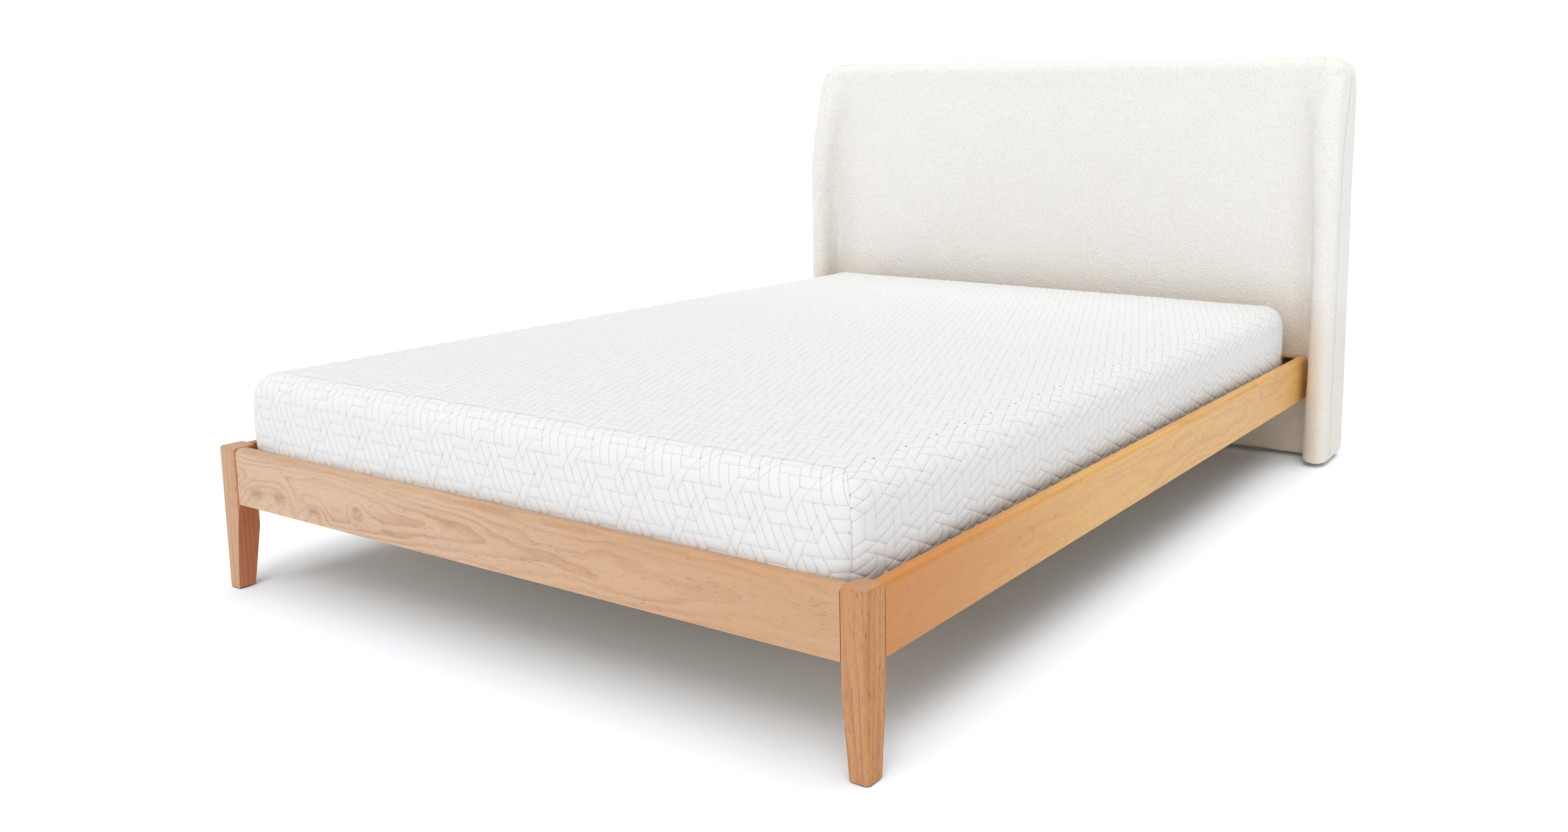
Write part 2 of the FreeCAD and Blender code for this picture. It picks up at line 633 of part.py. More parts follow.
def slat_screws(radius, length, centre_y):
    """One screw near each end of a slat, down into the ledgers."""
    screw = flush_screw(radius, length, (LEDGER_X, centre_y, SLAT_TOP), -Z_AXIS)
    return both_sides([screw])


def hook_blade(seat):
    """One hook of the side rail's end plate. Its neck rests on the slotted plate at seat."""
    face = SIDE_RAIL_FOOT_Y
    profile = [
        (face, seat), (face - HOOK_NECK, seat), (face - HOOK_NECK, seat - HOOK_DROP),
        (face - HOOK_REACH, seat - HOOK_DROP), (face - HOOK_REACH, seat + HOOK_HEIGHT),
        (face, seat + HOOK_HEIGHT),
    ]
    half = HOOK_BLADE_THICKNESS / 2
    return prism("YZ", [(y, z, 0) for y, z in profile], HOOK_X - half, HOOK_X + half)


def hook_plate(clearance):
    """The base of a bed hook, let into the foot end of the right-hand side rail."""
    half = HOOK_PLATE_WIDTH / 2 + clearance
    back = SIDE_RAIL_FOOT_Y + HOOK_PLATE_THICKNESS + clearance
    bottom = HOOK_PLATE_BOTTOM - clearance
    top = HOOK_PLATE_BOTTOM + HOOK_PLATE_HEIGHT + clearance
    return box(HOOK_X - half, HOOK_X + half, SIDE_RAIL_FOOT_Y, back, bottom, top)


def make_bed_hooks():
    hook = hook_plate(0)
    slotted = slot_plate_recess(0)
    half = HOOK_BLADE_THICKNESS / 2 + SLOT_CLEARANCE
    plate_front = LEG_REAR_Y - SLOT_PLATE_THICKNESS - OVERCUT
    for seat in HOOK_SEATS:
        hook = hook.fuse(hook_blade(seat))
        top = seat + HOOK_HEIGHT + HOOK_DROP + SLOT_CLEARANCE
        slot = box(HOOK_X - half, HOOK_X + half, plate_front, LEG_REAR_Y + OVERCUT, seat, top)
        slotted = slotted.cut(slot)
    save("rail_hook_plates", both_sides([hook]))
    save("leg_slot_plates", both_sides([slotted]))


def make_rails():
    foot = prism(
        "YZ", rail_section(FOOT_RAIL_Y, FOOT_RAIL_INNER_Y, RAIL_SHOW_RADIUS),
        -LEG_INNER_X + JOINT_GAP, LEG_INNER_X - JOINT_GAP,
    )
    foot = foot.fuse(tenon(0))
    hanger_pilots = hanger_screws(PILOT_RADIUS, BRACKET_SCREW_LENGTH + PILOT_ROOM, False)
    corner_pilots = corner_screws(PILOT_RADIUS, BRACKET_SCREW_LENGTH + PILOT_ROOM, False)
    foot = foot.cut(hanger_pilots)
    save("foot_rail", foot)

    side = prism(
        "XZ", rail_section(SIDE_RAIL_X, SIDE_RAIL_INNER_X, RAIL_SHOW_RADIUS),
        SIDE_RAIL_FOOT_Y, SIDE_RAIL_HEAD_Y,
    )
    side = side.cut(hook_plate(SCREW_CLEARANCE))
    side = side.cut(ledger_screws(PILOT_RADIUS, LEDGER_SCREW_LENGTH + PILOT_ROOM))
    side = side.cut(corner_pilots)
    save("side_rail_right", side)
    save("side_rail_left", mirrored(side))

    head = prism(
        "YZ", rail_section(HEAD_RAIL_Y, HEAD_RAIL_REAR_Y, RAIL_INNER_RADIUS),
        -SIDE_RAIL_INNER_X + JOINT_GAP, SIDE_RAIL_INNER_X - JOINT_GAP,
    )
    through = RAIL_THICKNESS + 2 * OVERCUT
    head = head.cut(bolt_row(BOLT_RADIUS + BOLT_CLEARANCE, HEAD_RAIL_Y - OVERCUT, through))
    save("head_rail", head.cut(hanger_pilots).cut(corner_pilots))

    heads = bolt_row(BOLT_HEAD_RADIUS, HEAD_RAIL_Y - BOLT_HEAD_HEIGHT, BOLT_HEAD_HEIGHT)
    shanks = bolt_row(BOLT_RADIUS, HEAD_RAIL_Y, HEAD_BOLT_LENGTH)
    save("head_rail_bolts", [h.fuse(s) for h, s in zip(heads, shanks)])


def make_corner_brackets():
    """Steel angles inside the corners between the side rails and the head rail."""
    x = SIDE_RAIL_INNER_X
    y = HEAD_RAIL_Y
    far_x = x - CORNER_BRACKET_SIZE
    near_y = y - CORNER_BRACKET_SIZE
    outline = [
        (x, y, 0), (far_x, y, 0), (far_x, y - STEEL_THICKNESS, 0),
        (x - STEEL_THICKNESS, y - STEEL_THICKNESS, STEEL_THICKNESS),
        (x - STEEL_THICKNESS, near_y, 0), (x, near_y, 0),
    ]
    top = CORNER_BRACKET_BOTTOM + CORNER_BRACKET_HEIGHT
    angle = prism("XY", outline, CORNER_BRACKET_BOTTOM, top)
    angle = angle.cut(corner_screws(PILOT_RADIUS, BRACKET_SCREW_LENGTH, False))
    save("head_corner_brackets", both_sides([angle]))


# ---------------------------------------------------------------- slat deck

def make_ledgers():
    bottom = LEDGER_TOP - LEDGER_SIZE
    section = rectangle(LEDGER_INNER_X, SIDE_RAIL_INNER_X, bottom, LEDGER_TOP, RAIL_LOWER_RADIUS)
    ledger = prism("XZ", section, LEDGER_FOOT_Y, LEDGER_HEAD_Y)
    ledger = ledger.cut(ledger_screws(PILOT_RADIUS, LEDGER_SCREW_LENGTH + PILOT_ROOM))
    for y in SLAT_YS:
        ledger = ledger.cut(slat_screws(PILOT_RADIUS, SLAT_SCREW_LENGTH + PILOT_ROOM, y))
    save("ledger_right", ledger)
    save("ledger_left", mirrored(ledger))
    save("ledger_screws", both_sides(ledger_screws(SCREW_RADIUS, LEDGER_SCREW_LENGTH)))


def make_slats():
    screws = []
    half = SLAT_WIDTH / 2
    for number, y in enumerate(SLAT_YS, 1):
        section = rectangle(y - half, y + half, LEDGER_TOP, SLAT_TOP, SLAT_EDGE_RADIUS)
        slat = prism("YZ", section, -SLAT_HALF_LENGTH, SLAT_HALF_LENGTH)
        slat = slat.cut(slat_screws(PILOT_RADIUS, SLAT_SCREW_LENGTH, y))
        save(f"slat_{number:02d}", slat)
        screws += slat_screws(SCREW_RADIUS, SLAT_SCREW_LENGTH, y)
    save("slat_screws", screws)


def make_centre_beam():
    half = BEAM_WIDTH / 2
    foot_end = FOOT_RAIL_INNER_Y + STEEL_THICKNESS + JOINT_GAP
    head_end = HEAD_RAIL_Y - STEEL_THICKNESS - JOINT_GAP
    section = rectangle(-half, half, BEAM_BOTTOM, LEDGER_TOP, RAIL_LOWER_RADIUS)
    beam = prism("XZ", section, foot_end, head_end)
    for y in (-CENTRE_LEG_Y, CENTRE_LEG_Y):
        top = (0, y, LEDGER_TOP - COUNTERBORE_DEPTH)
        beam = beam.cut(rod(COUNTERBORE_RADIUS, top, Z_AXIS, COUNTERBORE_DEPTH + OVERCUT))
        beam = beam.cut(rod(BOLT_RADIUS + BOLT_CLEARANCE, top, -Z_AXIS, LEDGER_TOP))
    save("centre_beam", beam)


def make_beam_hangers():
    """Bent steel hangers that hold the ends of the centre beam on the foot and head rails."""
    half = BEAM_WIDTH / 2
    t = STEEL_THICKNESS
    low = BEAM_BOTTOM - t
    high = low + HANGER_HEIGHT
    wide = half + t + HANGER_FLANGE
    face = FOOT_RAIL_INNER_Y
    hanger = box(-wide, wide, face, face + t, low, high)
    hanger = hanger.fuse(box(-half - t, half + t, face + t, face + HANGER_DEPTH, low, BEAM_BOTTOM))
    cheek = box(half, half + t, face + t, face + HANGER_DEPTH, low, high)
    hanger = hanger.fuse(both_sides([cheek])).removeSplitter()
    to_head = hanger.mirror(FreeCAD.Vector(0, (face + HEAD_RAIL_Y) / 2, 0), Y_AXIS)
    holes = hanger_screws(PILOT_RADIUS, BRACKET_SCREW_LENGTH, False)
    save("beam_hangers", [hanger.cut(holes), to_head.cut(holes)])
    screws = hanger_screws(SCREW_RADIUS, BRACKET_SCREW_LENGTH, True)
    screws += corner_screws(SCREW_RADIUS, BRACKET_SCREW_LENGTH, True)
    save("bracket_screws", screws)


def make_centre_leg(name, y):
    """One square leg under the centre beam, with its levelling foot."""
    half = CENTRE_LEG_SIZE / 2
    foot = (0, y, 0)
    section = rectangle(-half, half, y - half, y + half, CENTRE_LEG_EDGE)
    leg = prism("XY", section, CENTRE_LEG_BOTTOM, BEAM_BOTTOM)
    bolt_end = LEDGER_TOP - COUNTERBORE_DEPTH - LEG_BOLT_LENGTH
    bolt_hole_end = (0, y, bolt_end - LEG_BOLT_ROOM)
    leg = leg.cut(rod(BOLT_RADIUS + SCREW_CLEARANCE, bolt_hole_end, Z_AXIS, FAR))
    leg = leg.cut(rod(NUT_RADIUS + SLEEVE_CLEARANCE, foot, Z_AXIS, CENTRE_LEG_BOTTOM + NUT_LENGTH))
    leg = leg.cut(rod(LEVEL_SCREW_RADIUS + BOLT_CLEARANCE, foot, Z_AXIS, LEVEL_SCREW_ROOM))
    save(f"centre_leg_{name}", leg)

    base = rod(LEVEL_PAD_RADIUS, foot, Z_AXIS, LEVEL_PAD_THICKNESS)
    upper_edges = [e for e in base.Edges if e.BoundBox.ZMin > LEVEL_PAD_THICKNESS - 1e-3]
    base = base.makeFillet(FOOT_EDGE, upper_edges)
    inside = LEVEL_PAD_THICKNESS / 2
    boss = rod(LEVEL_BOSS_RADIUS, (0, y, inside), Z_AXIS, LEVEL_BOSS_TOP - inside)
    socket_radius = LEVEL_SCREW_RADIUS + THREAD_CLEARANCE
    socket = rod(socket_radius, (0, y, LEVEL_SOCKET_BOTTOM), Z_AXIS, LEVEL_BOSS_TOP)
    save(f"levelling_pad_{name}", base.fuse(boss).removeSplitter().cut(socket))

    stud_length = LEVEL_SCREW_TOP - LEVEL_SCREW_BOTTOM
    stud = rod(LEVEL_SCREW_RADIUS, (0, y, LEVEL_SCREW_BOTTOM), Z_AXIS, stud_length)
    across_corners = LEVEL_HEX_FLATS / 2 / math.cos(math.pi / 6)
    turns = [math.pi / 3 * k for k in range(6)]
    hexagon = [(across_corners * math.cos(a), y + across_corners * math.sin(a), 0) for a in turns]
    grip = prism("XY", hexagon, LEVEL_HEX_BOTTOM, LEVEL_HEX_BOTTOM + LEVEL_HEX_HEIGHT)
    save(f"levelling_screw_{name}", stud.fuse(grip))


def make_centre_leg_hardware():
    nuts = []
    bolts = []
    for y in (-CENTRE_LEG_Y, CENTRE_LEG_Y):
        sleeve = rod(NUT_RADIUS, (0, y, CENTRE_LEG_BOTTOM), Z_AXIS, NUT_LENGTH)
        flange = rod(NUT_FLANGE_RADIUS, (0, y, CENTRE_LEG_BOTTOM), -Z_AXIS, NUT_FLANGE_THICKNESS)
        bore = rod(LEVEL_SCREW_RADIUS + THREAD_CLEARANCE, (0, y, 0), Z_AXIS, FAR)
        nuts.append(sleeve.fuse(flange).removeSplitter().cut(bore))
        seat = (0, y, LEDGER_TOP - COUNTERBORE_DEPTH)
        shank = rod(BOLT_RADIUS, seat, -Z_AXIS, LEG_BOLT_LENGTH)
        bolts.append(shank.fuse(rod(BOLT_HEAD_RADIUS, seat, Z_AXIS, BOLT_HEAD_HEIGHT)))
    save("levelling_nuts", nuts)
    save("centre_leg_bolts", bolts)


# ---------------------------------------------------------------- mattress

def mattress_block(inset):
    """The mattress as one solid with rounded edges, with every face moved inwards by inset."""
    half = MATTRESS_WIDTH / 2 - inset
    foot = FOOT_Y + MATTRESS_FOOT_GAP + inset
    head = FOOT_Y + MATTRESS_FOOT_GAP + MATTRESS_LENGTH - inset
    low = MATTRESS_BOTTOM + inset
    high = MATTRESS_TOP - inset
    block = prism("XY", rectangle(-half, half, foot, head, MATTRESS_CORNER - inset), low, high)
    upper = [e for e in block.Edges if e.BoundBox.ZMin > high - 1e-3]
    block = block.makeFillet(MATTRESS_TOP_RADIUS - inset, upper)
    lower = [e for e in block.Edges if e.BoundBox.ZMax < low + 1e-3]
    return block.makeFillet(MATTRESS_BOTTOM_RADIUS - inset, lower)


def make_mattress():
    save("mattress_cover", mattress_block(0).cut(mattress_block(MATTRESS_COVER)))
    filling = mattress_block(MATTRESS_COVER + BODY_GAP)
    split = MATTRESS_TOP - MATTRESS_COVER - COMFORT_THICKNESS
    save("mattress_comfort_foam", filling.common(box(-FAR, FAR, -FAR, FAR, split, FAR)))
    save("mattress_base_foam", filling.common(box(-FAR, FAR, -FAR, FAR, -FAR, split)))


# ---------------------------------------------------------------- the bed

def main():
    os.makedirs("parts", exist_ok=True)
    padding = headboard_body(PADDING_INSET)
    make_headboard_covers()
    wing_core = make_headboard_frame(padding)
    make_headboard_padding(padding, wing_core)
    make_headboard_hardware()
    make_foot_legs()
    make_rails()
    make_bed_hooks()
    make_corner_brackets()
    make_ledgers()
    make_slats()
    make_centre_beam()
    make_beam_hangers()
    make_centre_leg("front", -CENTRE_LEG_Y)
    make_centre_leg("rear", CENTRE_LEG_Y)
    make_centre_leg_hardware()
    make_mattress()


main()
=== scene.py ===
import bpy
import math
import numpy as np
from mathutils import Matrix, Vector


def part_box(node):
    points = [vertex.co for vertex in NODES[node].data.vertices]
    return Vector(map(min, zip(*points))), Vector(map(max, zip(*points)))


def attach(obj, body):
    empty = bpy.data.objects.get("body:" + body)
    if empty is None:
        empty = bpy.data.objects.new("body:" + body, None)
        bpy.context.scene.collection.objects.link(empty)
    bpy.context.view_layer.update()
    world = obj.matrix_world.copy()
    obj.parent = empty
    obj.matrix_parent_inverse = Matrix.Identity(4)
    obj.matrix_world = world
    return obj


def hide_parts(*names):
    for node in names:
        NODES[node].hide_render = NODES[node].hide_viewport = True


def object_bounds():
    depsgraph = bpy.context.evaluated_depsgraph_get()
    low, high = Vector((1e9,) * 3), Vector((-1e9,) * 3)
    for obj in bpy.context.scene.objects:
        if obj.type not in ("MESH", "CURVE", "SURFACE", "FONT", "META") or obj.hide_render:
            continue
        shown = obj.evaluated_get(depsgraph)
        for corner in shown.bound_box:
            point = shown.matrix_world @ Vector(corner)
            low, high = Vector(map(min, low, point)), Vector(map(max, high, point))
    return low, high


# Looks of the queen-size bed with an upholstered, winged headboard. Metres, in the frame of
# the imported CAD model: +X right seen from the foot, +Y from foot to head, +Z up.
# Covers are built around the boxes of the CAD nodes that they stand for.

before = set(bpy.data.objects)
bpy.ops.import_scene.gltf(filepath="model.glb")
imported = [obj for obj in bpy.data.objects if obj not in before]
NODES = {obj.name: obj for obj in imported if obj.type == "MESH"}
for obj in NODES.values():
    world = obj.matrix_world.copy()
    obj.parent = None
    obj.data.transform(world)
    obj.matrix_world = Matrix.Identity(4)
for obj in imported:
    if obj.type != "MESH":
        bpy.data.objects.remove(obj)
CAD_LOW, CAD_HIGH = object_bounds()
MM = 0.001

# Headboard, from its covers' boxes and the radii of its CAD solid
COVER_LOW, COVER_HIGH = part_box("headboard_front_cover")
HALF_WIDTH = COVER_HIGH.x
HEAD_BOTTOM = COVER_LOW.z
HEAD_TOP = COVER_HIGH.z
NOSE_Y = COVER_LOW.y
BACK_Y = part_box("headboard_back_cover")[1].y
PANEL_Y = BACK_Y - 0.094
WING_INNER_X = HALF_WIDTH - 0.065
WING_DEPTH = BACK_Y - NOSE_Y
SWEEP_START = HEAD_BOTTOM + 0.730
SWEEP_HEIGHT = 0.397
NOSE_RADIUS = 0.031
TOP_FRONT_RADIUS = 0.036
TOP_CORNER_RADIUS = 0.062
BACK_RADIUS = 0.016
BOTTOM_RADIUS = 0.016
LOW_FILLET = 0.050
HIGH_FILLET = 0.095
FILLET_START, FILLET_RISE = 0.30, 0.45
FOOT_SHARE, FOOT_REACH = 0.3, 0.12
SEAM_Y = BACK_Y - 0.130
SEAM_BACK_X = HALF_WIDTH - 0.017
RIDGE_Y = BACK_Y - 0.018
SEAM_DEPTH = 0.0042
SEAM_WIDTH = 0.0055
YARN_LUMP = 0.0010
HEAD_STEP, QUICK_HEAD_STEP, SIM_HEAD_STEP = 0.0042, 0.0105, 0.026
HEAD_PRESSURE, HEAD_SWELL = 2.5, 0.0055

# Mattress, from the box of its CAD cover
MAT_LOW, MAT_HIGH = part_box("mattress_cover")
ROLL = 0.050
UNDER_ROLL = 0.025
FLAT_X = MAT_HIGH.x - ROLL
FLAT_FOOT = MAT_LOW.y + ROLL
FLAT_HEAD = MAT_HIGH.y - ROLL
MAT_TOP = MAT_HIGH.z - 0.003
CORNER = ROLL - UNDER_ROLL
SIDE_LENGTH = MAT_TOP - ROLL - MAT_LOW.z - UNDER_ROLL
TUCK = 0.008
ROLL_LENGTH = ROLL * math.pi / 2
UNDER_LENGTH = UNDER_ROLL * math.pi / 2
FLAP_LENGTH = ROLL_LENGTH + SIDE_LENGTH + UNDER_LENGTH
MARGIN = ROLL * math.pi / 4
CROWN = 0.006
BELLY = 0.004
SIM_MATTRESS_STEP = 0.030
MATTRESS_PRESSURE, MATTRESS_SWELL = 3.0, 0.0065

# Quilting: one unit along X, one row, where the pattern starts, its repeat, and how deep (mm)
# and how wide (mm) its creases and stitched lines are
UNIT = 0.01987
ROW = 0.0225
FOOT_ROW = 0.0206
SIDE_UNIT = 0.0197
PHASE_X = 0.1827
ROW_AT_FOOT = -2.64
ROW_UNDER_ROLL = 1.35
SIDE_X_UNDER_ROLL = 0.5 + 0.041 / SIDE_UNIT
REPEAT_X = 6
REPEAT_ROWS = 4
CREASE_DEPTH, CREASE_WIDTH = 1.75, 2.7
STITCH_DEPTH, STITCH_WIDTH = 1.0, 2.3
CORNER_SEAM_DEPTH, CORNER_SEAM_WIDTH = 0.9, 0.0030
CALM_SHARE, CALM_REACH = 0.35, 0.15

# Studio light: share of white
HAZE = 0.32
CEILING = 0.72
OVERHEAD = 0.42
FRONT = 0.29
FLOOR_WASH = 0.30


# ---- mesh helpers

def fill_mesh(name, vertices, faces):
    """A mesh from arrays of points and of faces with three or four corners. A four-cornered
    face with two corners joined becomes a triangle, and a face without area is left out."""
    if faces.shape[1] == 4:
        same = [faces[:, k] == faces[:, k - 1] for k in range(4)]
        whole = faces[~np.any(same, axis=0)]
        once = np.sum(same, axis=0) == 1
        thin = [np.delete(faces[once & same[k]], k, axis=1) for k in range(4)]
        triangles = np.concatenate(thin)
    else:
        whole = np.zeros((0, 4), dtype=np.int64)
        triangles = faces
    flat = (triangles[:, 0] == triangles[:, 1]) | (triangles[:, 1] == triangles[:, 2])
    triangles = triangles[~(flat | (triangles[:, 2] == triangles[:, 0]))]
    corners = np.concatenate([whole.reshape(-1), triangles.reshape(-1)])
    starts = np.arange(len(whole)) * 4
    starts = np.concatenate([starts, len(whole) * 4 + np.arange(len(triangles)) * 3])
    mesh = bpy.data.meshes.new(name)
    mesh.vertices.add(len(vertices))
    mesh.vertices.foreach_set("co", vertices.astype(np.float32).reshape(-1))
    mesh.loops.add(len(corners))
    mesh.loops.foreach_set("vertex_index", corners.astype(np.int32))
    mesh.polygons.add(len(starts))
    mesh.polygons.foreach_set("loop_start", starts.astype(np.int32))
    mesh.polygons.foreach_set("use_smooth", np.ones(len(starts), dtype=bool))
    mesh.update(calc_edges=True)
    return mesh


def new_object(name, data):
    made = bpy.data.objects.new(name, data)
    bpy.context.scene.collection.objects.link(made)
    return made


def new_piece(name, vertices, faces, material, body=None, attributes=None):
    """A smooth mesh object that rides on a CAD body, with values at its vertices."""
    mesh = fill_mesh(name, vertices, faces)
    mesh.materials.append(material)
    for label, values in (attributes or {}).items():
        layer = mesh.attributes.new(label, "FLOAT", "POINT")
        layer.data.foreach_set("value", values.astype(np.float32).reshape(-1))
    piece = new_object(name, mesh)
    if body:
        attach(piece, body)
    return piece


def grid_quads(rows, columns, closed=False):
    """Quads of a rows x columns grid of vertices, joined end to end along columns if closed."""
    index = np.arange(rows * columns).reshape(rows, columns)
    if closed:
        index = np.concatenate([index, index[:, :1]], axis=1)
    quads = [index[:-1, :-1], index[:-1, 1:], index[1:, 1:], index[1:, :-1]]
    return np.stack(quads, axis=-1).reshape(-1, 4)


def weld(vertices, faces, tolerance=2e-5):
    """Joins coincident vertices. Returns them, the faces, and each old vertex's new number."""
    keys = np.round(vertices / tolerance).astype(np.int64)
    _, first, inverse = np.unique(keys, axis=0, return_index=True, return_inverse=True)
    return vertices[first], inverse.reshape(-1)[faces], inverse.reshape(-1)


def unit(vectors):
    """The vectors, each made one long."""
    return vectors / np.maximum(np.linalg.norm(vectors, axis=1, keepdims=True), 1e-12)


def triangle_normals(vertices, triangles):
    """Smooth normals at the vertices."""
    a, b, c = (vertices[triangles[:, k]] for k in range(3))
    across = np.cross(b - a, c - a)
    normals = np.zeros_like(vertices)
    for k in range(3):
        np.add.at(normals, triangles[:, k], across)
    return unit(normals)


def hashed(cells, seed):
    """A repeatable value from 0 to 1 for each integer cell."""
    mixed = cells @ np.array([73856093, 19349663, 83492791], dtype=np.int64) + seed * 2654435761
    mixed = (mixed ^ (mixed >> 13)) * 1274126177 & 0xFFFFFFFF
    return ((mixed ^ (mixed >> 16)) & 0xFFFF) / 65535.0


def soft_noise(points, size, seed):
    """Smooth value noise from -1 to 1, with lumps about size across."""
    scaled = points / size
    cell = np.floor(scaled).astype(np.int64)
    part = scaled - cell
    part = part * part * (3 - 2 * part)
    total = np.zeros(len(points))
    for corner in np.ndindex(2, 2, 2):
        offset = np.array(corner)
        weight = np.prod(np.where(offset == 1, part, 1 - part), axis=1)
        total += weight * hashed(cell + offset, seed)
    return 2 * total - 1


def inflate(name, vertices, faces, pinned, pressure, cap, frames=16):
    """Swells a closed mesh with Cloth and returns how far each vertex moved, eased to cap."""
    body = new_object(name, fill_mesh(name, vertices, faces))
    group = body.vertex_groups.new(name="pin")
    group.add(np.flatnonzero(pinned).tolist(), 1.0, "REPLACE")
    cloth = body.modifiers.new("cloth", "CLOTH")
    settings = cloth.settings
    settings.quality = 4
    settings.mass = 0.4
    settings.tension_stiffness = 30
    settings.compression_stiffness = 30
    settings.shear_stiffness = 15
    settings.bending_stiffness = 8
    settings.use_pressure = True
    settings.uniform_pressure_force = pressure
    settings.vertex_group_mass = "pin"
    settings.effector_weights.gravity = 0.0
    cloth.collision_settings.use_collision = False
    cloth.point_cache.frame_start = 1
    cloth.point_cache.frame_end = frames
    for number in range(1, frames + 1):
        bpy.context.scene.frame_set(number)
    settled = body.evaluated_get(bpy.context.evaluated_depsgraph_get())
    moved = np.zeros(len(vertices) * 3, np.float32)
    settled.data.vertices.foreach_get("co", moved)
    moved = moved.reshape(-1, 3) - vertices
    bpy.data.objects.remove(body)
    bpy.context.scene.frame_set(1)
    length = np.linalg.norm(moved, axis=1, keepdims=True)
    return moved * cap * np.tanh(length / cap) / np.maximum(length, 1e-9)


def between(grid, rows, columns, row_at, column_at):
    """Reads a grid of vectors at any places, straight between its rows and columns."""
    i = np.clip(np.searchsorted(rows, row_at) - 1, 0, len(rows) - 2)
    j = np.clip(np.searchsorted(columns, column_at) - 1, 0, len(columns) - 2)
    u = np.clip((row_at - rows[i]) / (rows[i + 1] - rows[i]), 0, 1)[..., None]
    v = np.clip((column_at - columns[j]) / (columns[j + 1] - columns[j]), 0, 1)[..., None]
    first = grid[i, j] * (1 - v) + grid[i, j + 1] * v
    second = grid[i + 1, j] * (1 - v) + grid[i + 1, j + 1] * v
    return first * (1 - u) + second * u


# ---- node materials

class Shader:
    """One node material. Most calls add nodes and return an output socket."""

    def __init__(self, name):
        self.material = bpy.data.materials.new(name)
        self.material.use_nodes = True
        self.tree = self.material.node_tree
        self.tree.nodes.clear()

    def node(self, kind, values=None, out=0, **settings):
        node = self.tree.nodes.new(kind)
        for key, value in settings.items():
            setattr(node, key, value)
        for key, value in (values or {}).items():
            if isinstance(value, bpy.types.NodeSocket):
                self.tree.links.new(value, node.inputs[key])
            else:
                node.inputs[key].default_value = value
        return None if out is None else node.outputs[out]

    def math(self, operation, a, b=0.0, clamp=False):
        return self.node("ShaderNodeMath", {0: a, 1: b}, operation=operation, use_clamp=clamp)

    def plus(self, a, b):
        return self.math("ADD", a, b)

    def minus(self, a, b):
        return self.math("SUBTRACT", a, b)

    def times(self, a, b):
        return self.math("MULTIPLY", a, b)

    def vector(self, operation, a, b, out=0):
        """Vector arithmetic. b is a number if the operation is SCALE."""
        values = {0: a, "Scale" if operation == "SCALE" else 1: b}
        return self.node("ShaderNodeVectorMath", values, out=out, operation=operation)

    def stretch(self, vector, scale, turn=(0, 0, 0)):
        values = {"Vector": vector, "Scale": scale, "Rotation": turn}
        return self.node("ShaderNodeMapping", values)

    def place(self, scale=(1, 1, 1), turn=(0, 0, 0)):
        """Object coordinates in metres, turned and scaled."""
        return self.stretch(self.node("ShaderNodeTexCoord", out=3), scale, turn)

    def axes(self, vector):
        """The three numbers of a vector."""
        self.node("ShaderNodeSeparateXYZ", {0: vector})
        return self.tree.nodes[-1].outputs

    def warp(self, place, swirl, amount):
        """A place moved as a noise's colour says, by up to about half of amount each way."""
        shift = self.vector("SUBTRACT", swirl, (0.5, 0.5, 0.5))
        return self.vector("ADD", place, self.vector("SCALE", shift, amount))

    def facing(self, axis):
        """How much the surface faces along an axis, from -1 to 1."""
        normal = self.node("ShaderNodeNewGeometry", out=1)
        return self.vector("DOT_PRODUCT", normal, axis, out=1)

    def noise(self, vector, scale, detail=2.0, rough=0.5, distortion=0.0, out=0):
        values = {"Vector": vector, "Scale": scale, "Detail": detail, "Roughness": rough,
                  "Distortion": distortion}
        return self.node("ShaderNodeTexNoise", values, out=out)

    def ramp(self, factor, low, high, low_out=0.0, high_out=1.0):
        values = {0: factor, 1: low, 2: high, 3: low_out, 4: high_out}
        return self.node("ShaderNodeMapRange", values, interpolation_type="SMOOTHSTEP")

    def mix(self, factor, a, b, blend="MIX"):
        values = {0: factor, 6: a, 7: b}
        return self.node("ShaderNodeMix", values, out=2, data_type="RGBA", blend_type=blend)

    def attribute(self, name):
        return self.node("ShaderNodeAttribute", out=2, attribute_name=name)

    def bump(self, height, distance, strength):
        values = {"Height": height, "Distance": distance, "Strength": strength}
        return self.node("ShaderNodeBump", values)

    def finish(self, colour, roughness, normal=None, **extra):
        values = {"Base Color": colour, "Roughness": roughness}
        values.update({key.replace("_", " "): value for key, value in extra.items()})
        if normal:
            values["Normal"] = normal
        surface = self.node("ShaderNodeBsdfPrincipled", values)
        self.node("ShaderNodeOutputMaterial", {"Surface": surface}, out=None)
        return self.material


def rgb(r, g, b):
    return (r, g, b, 1.0)


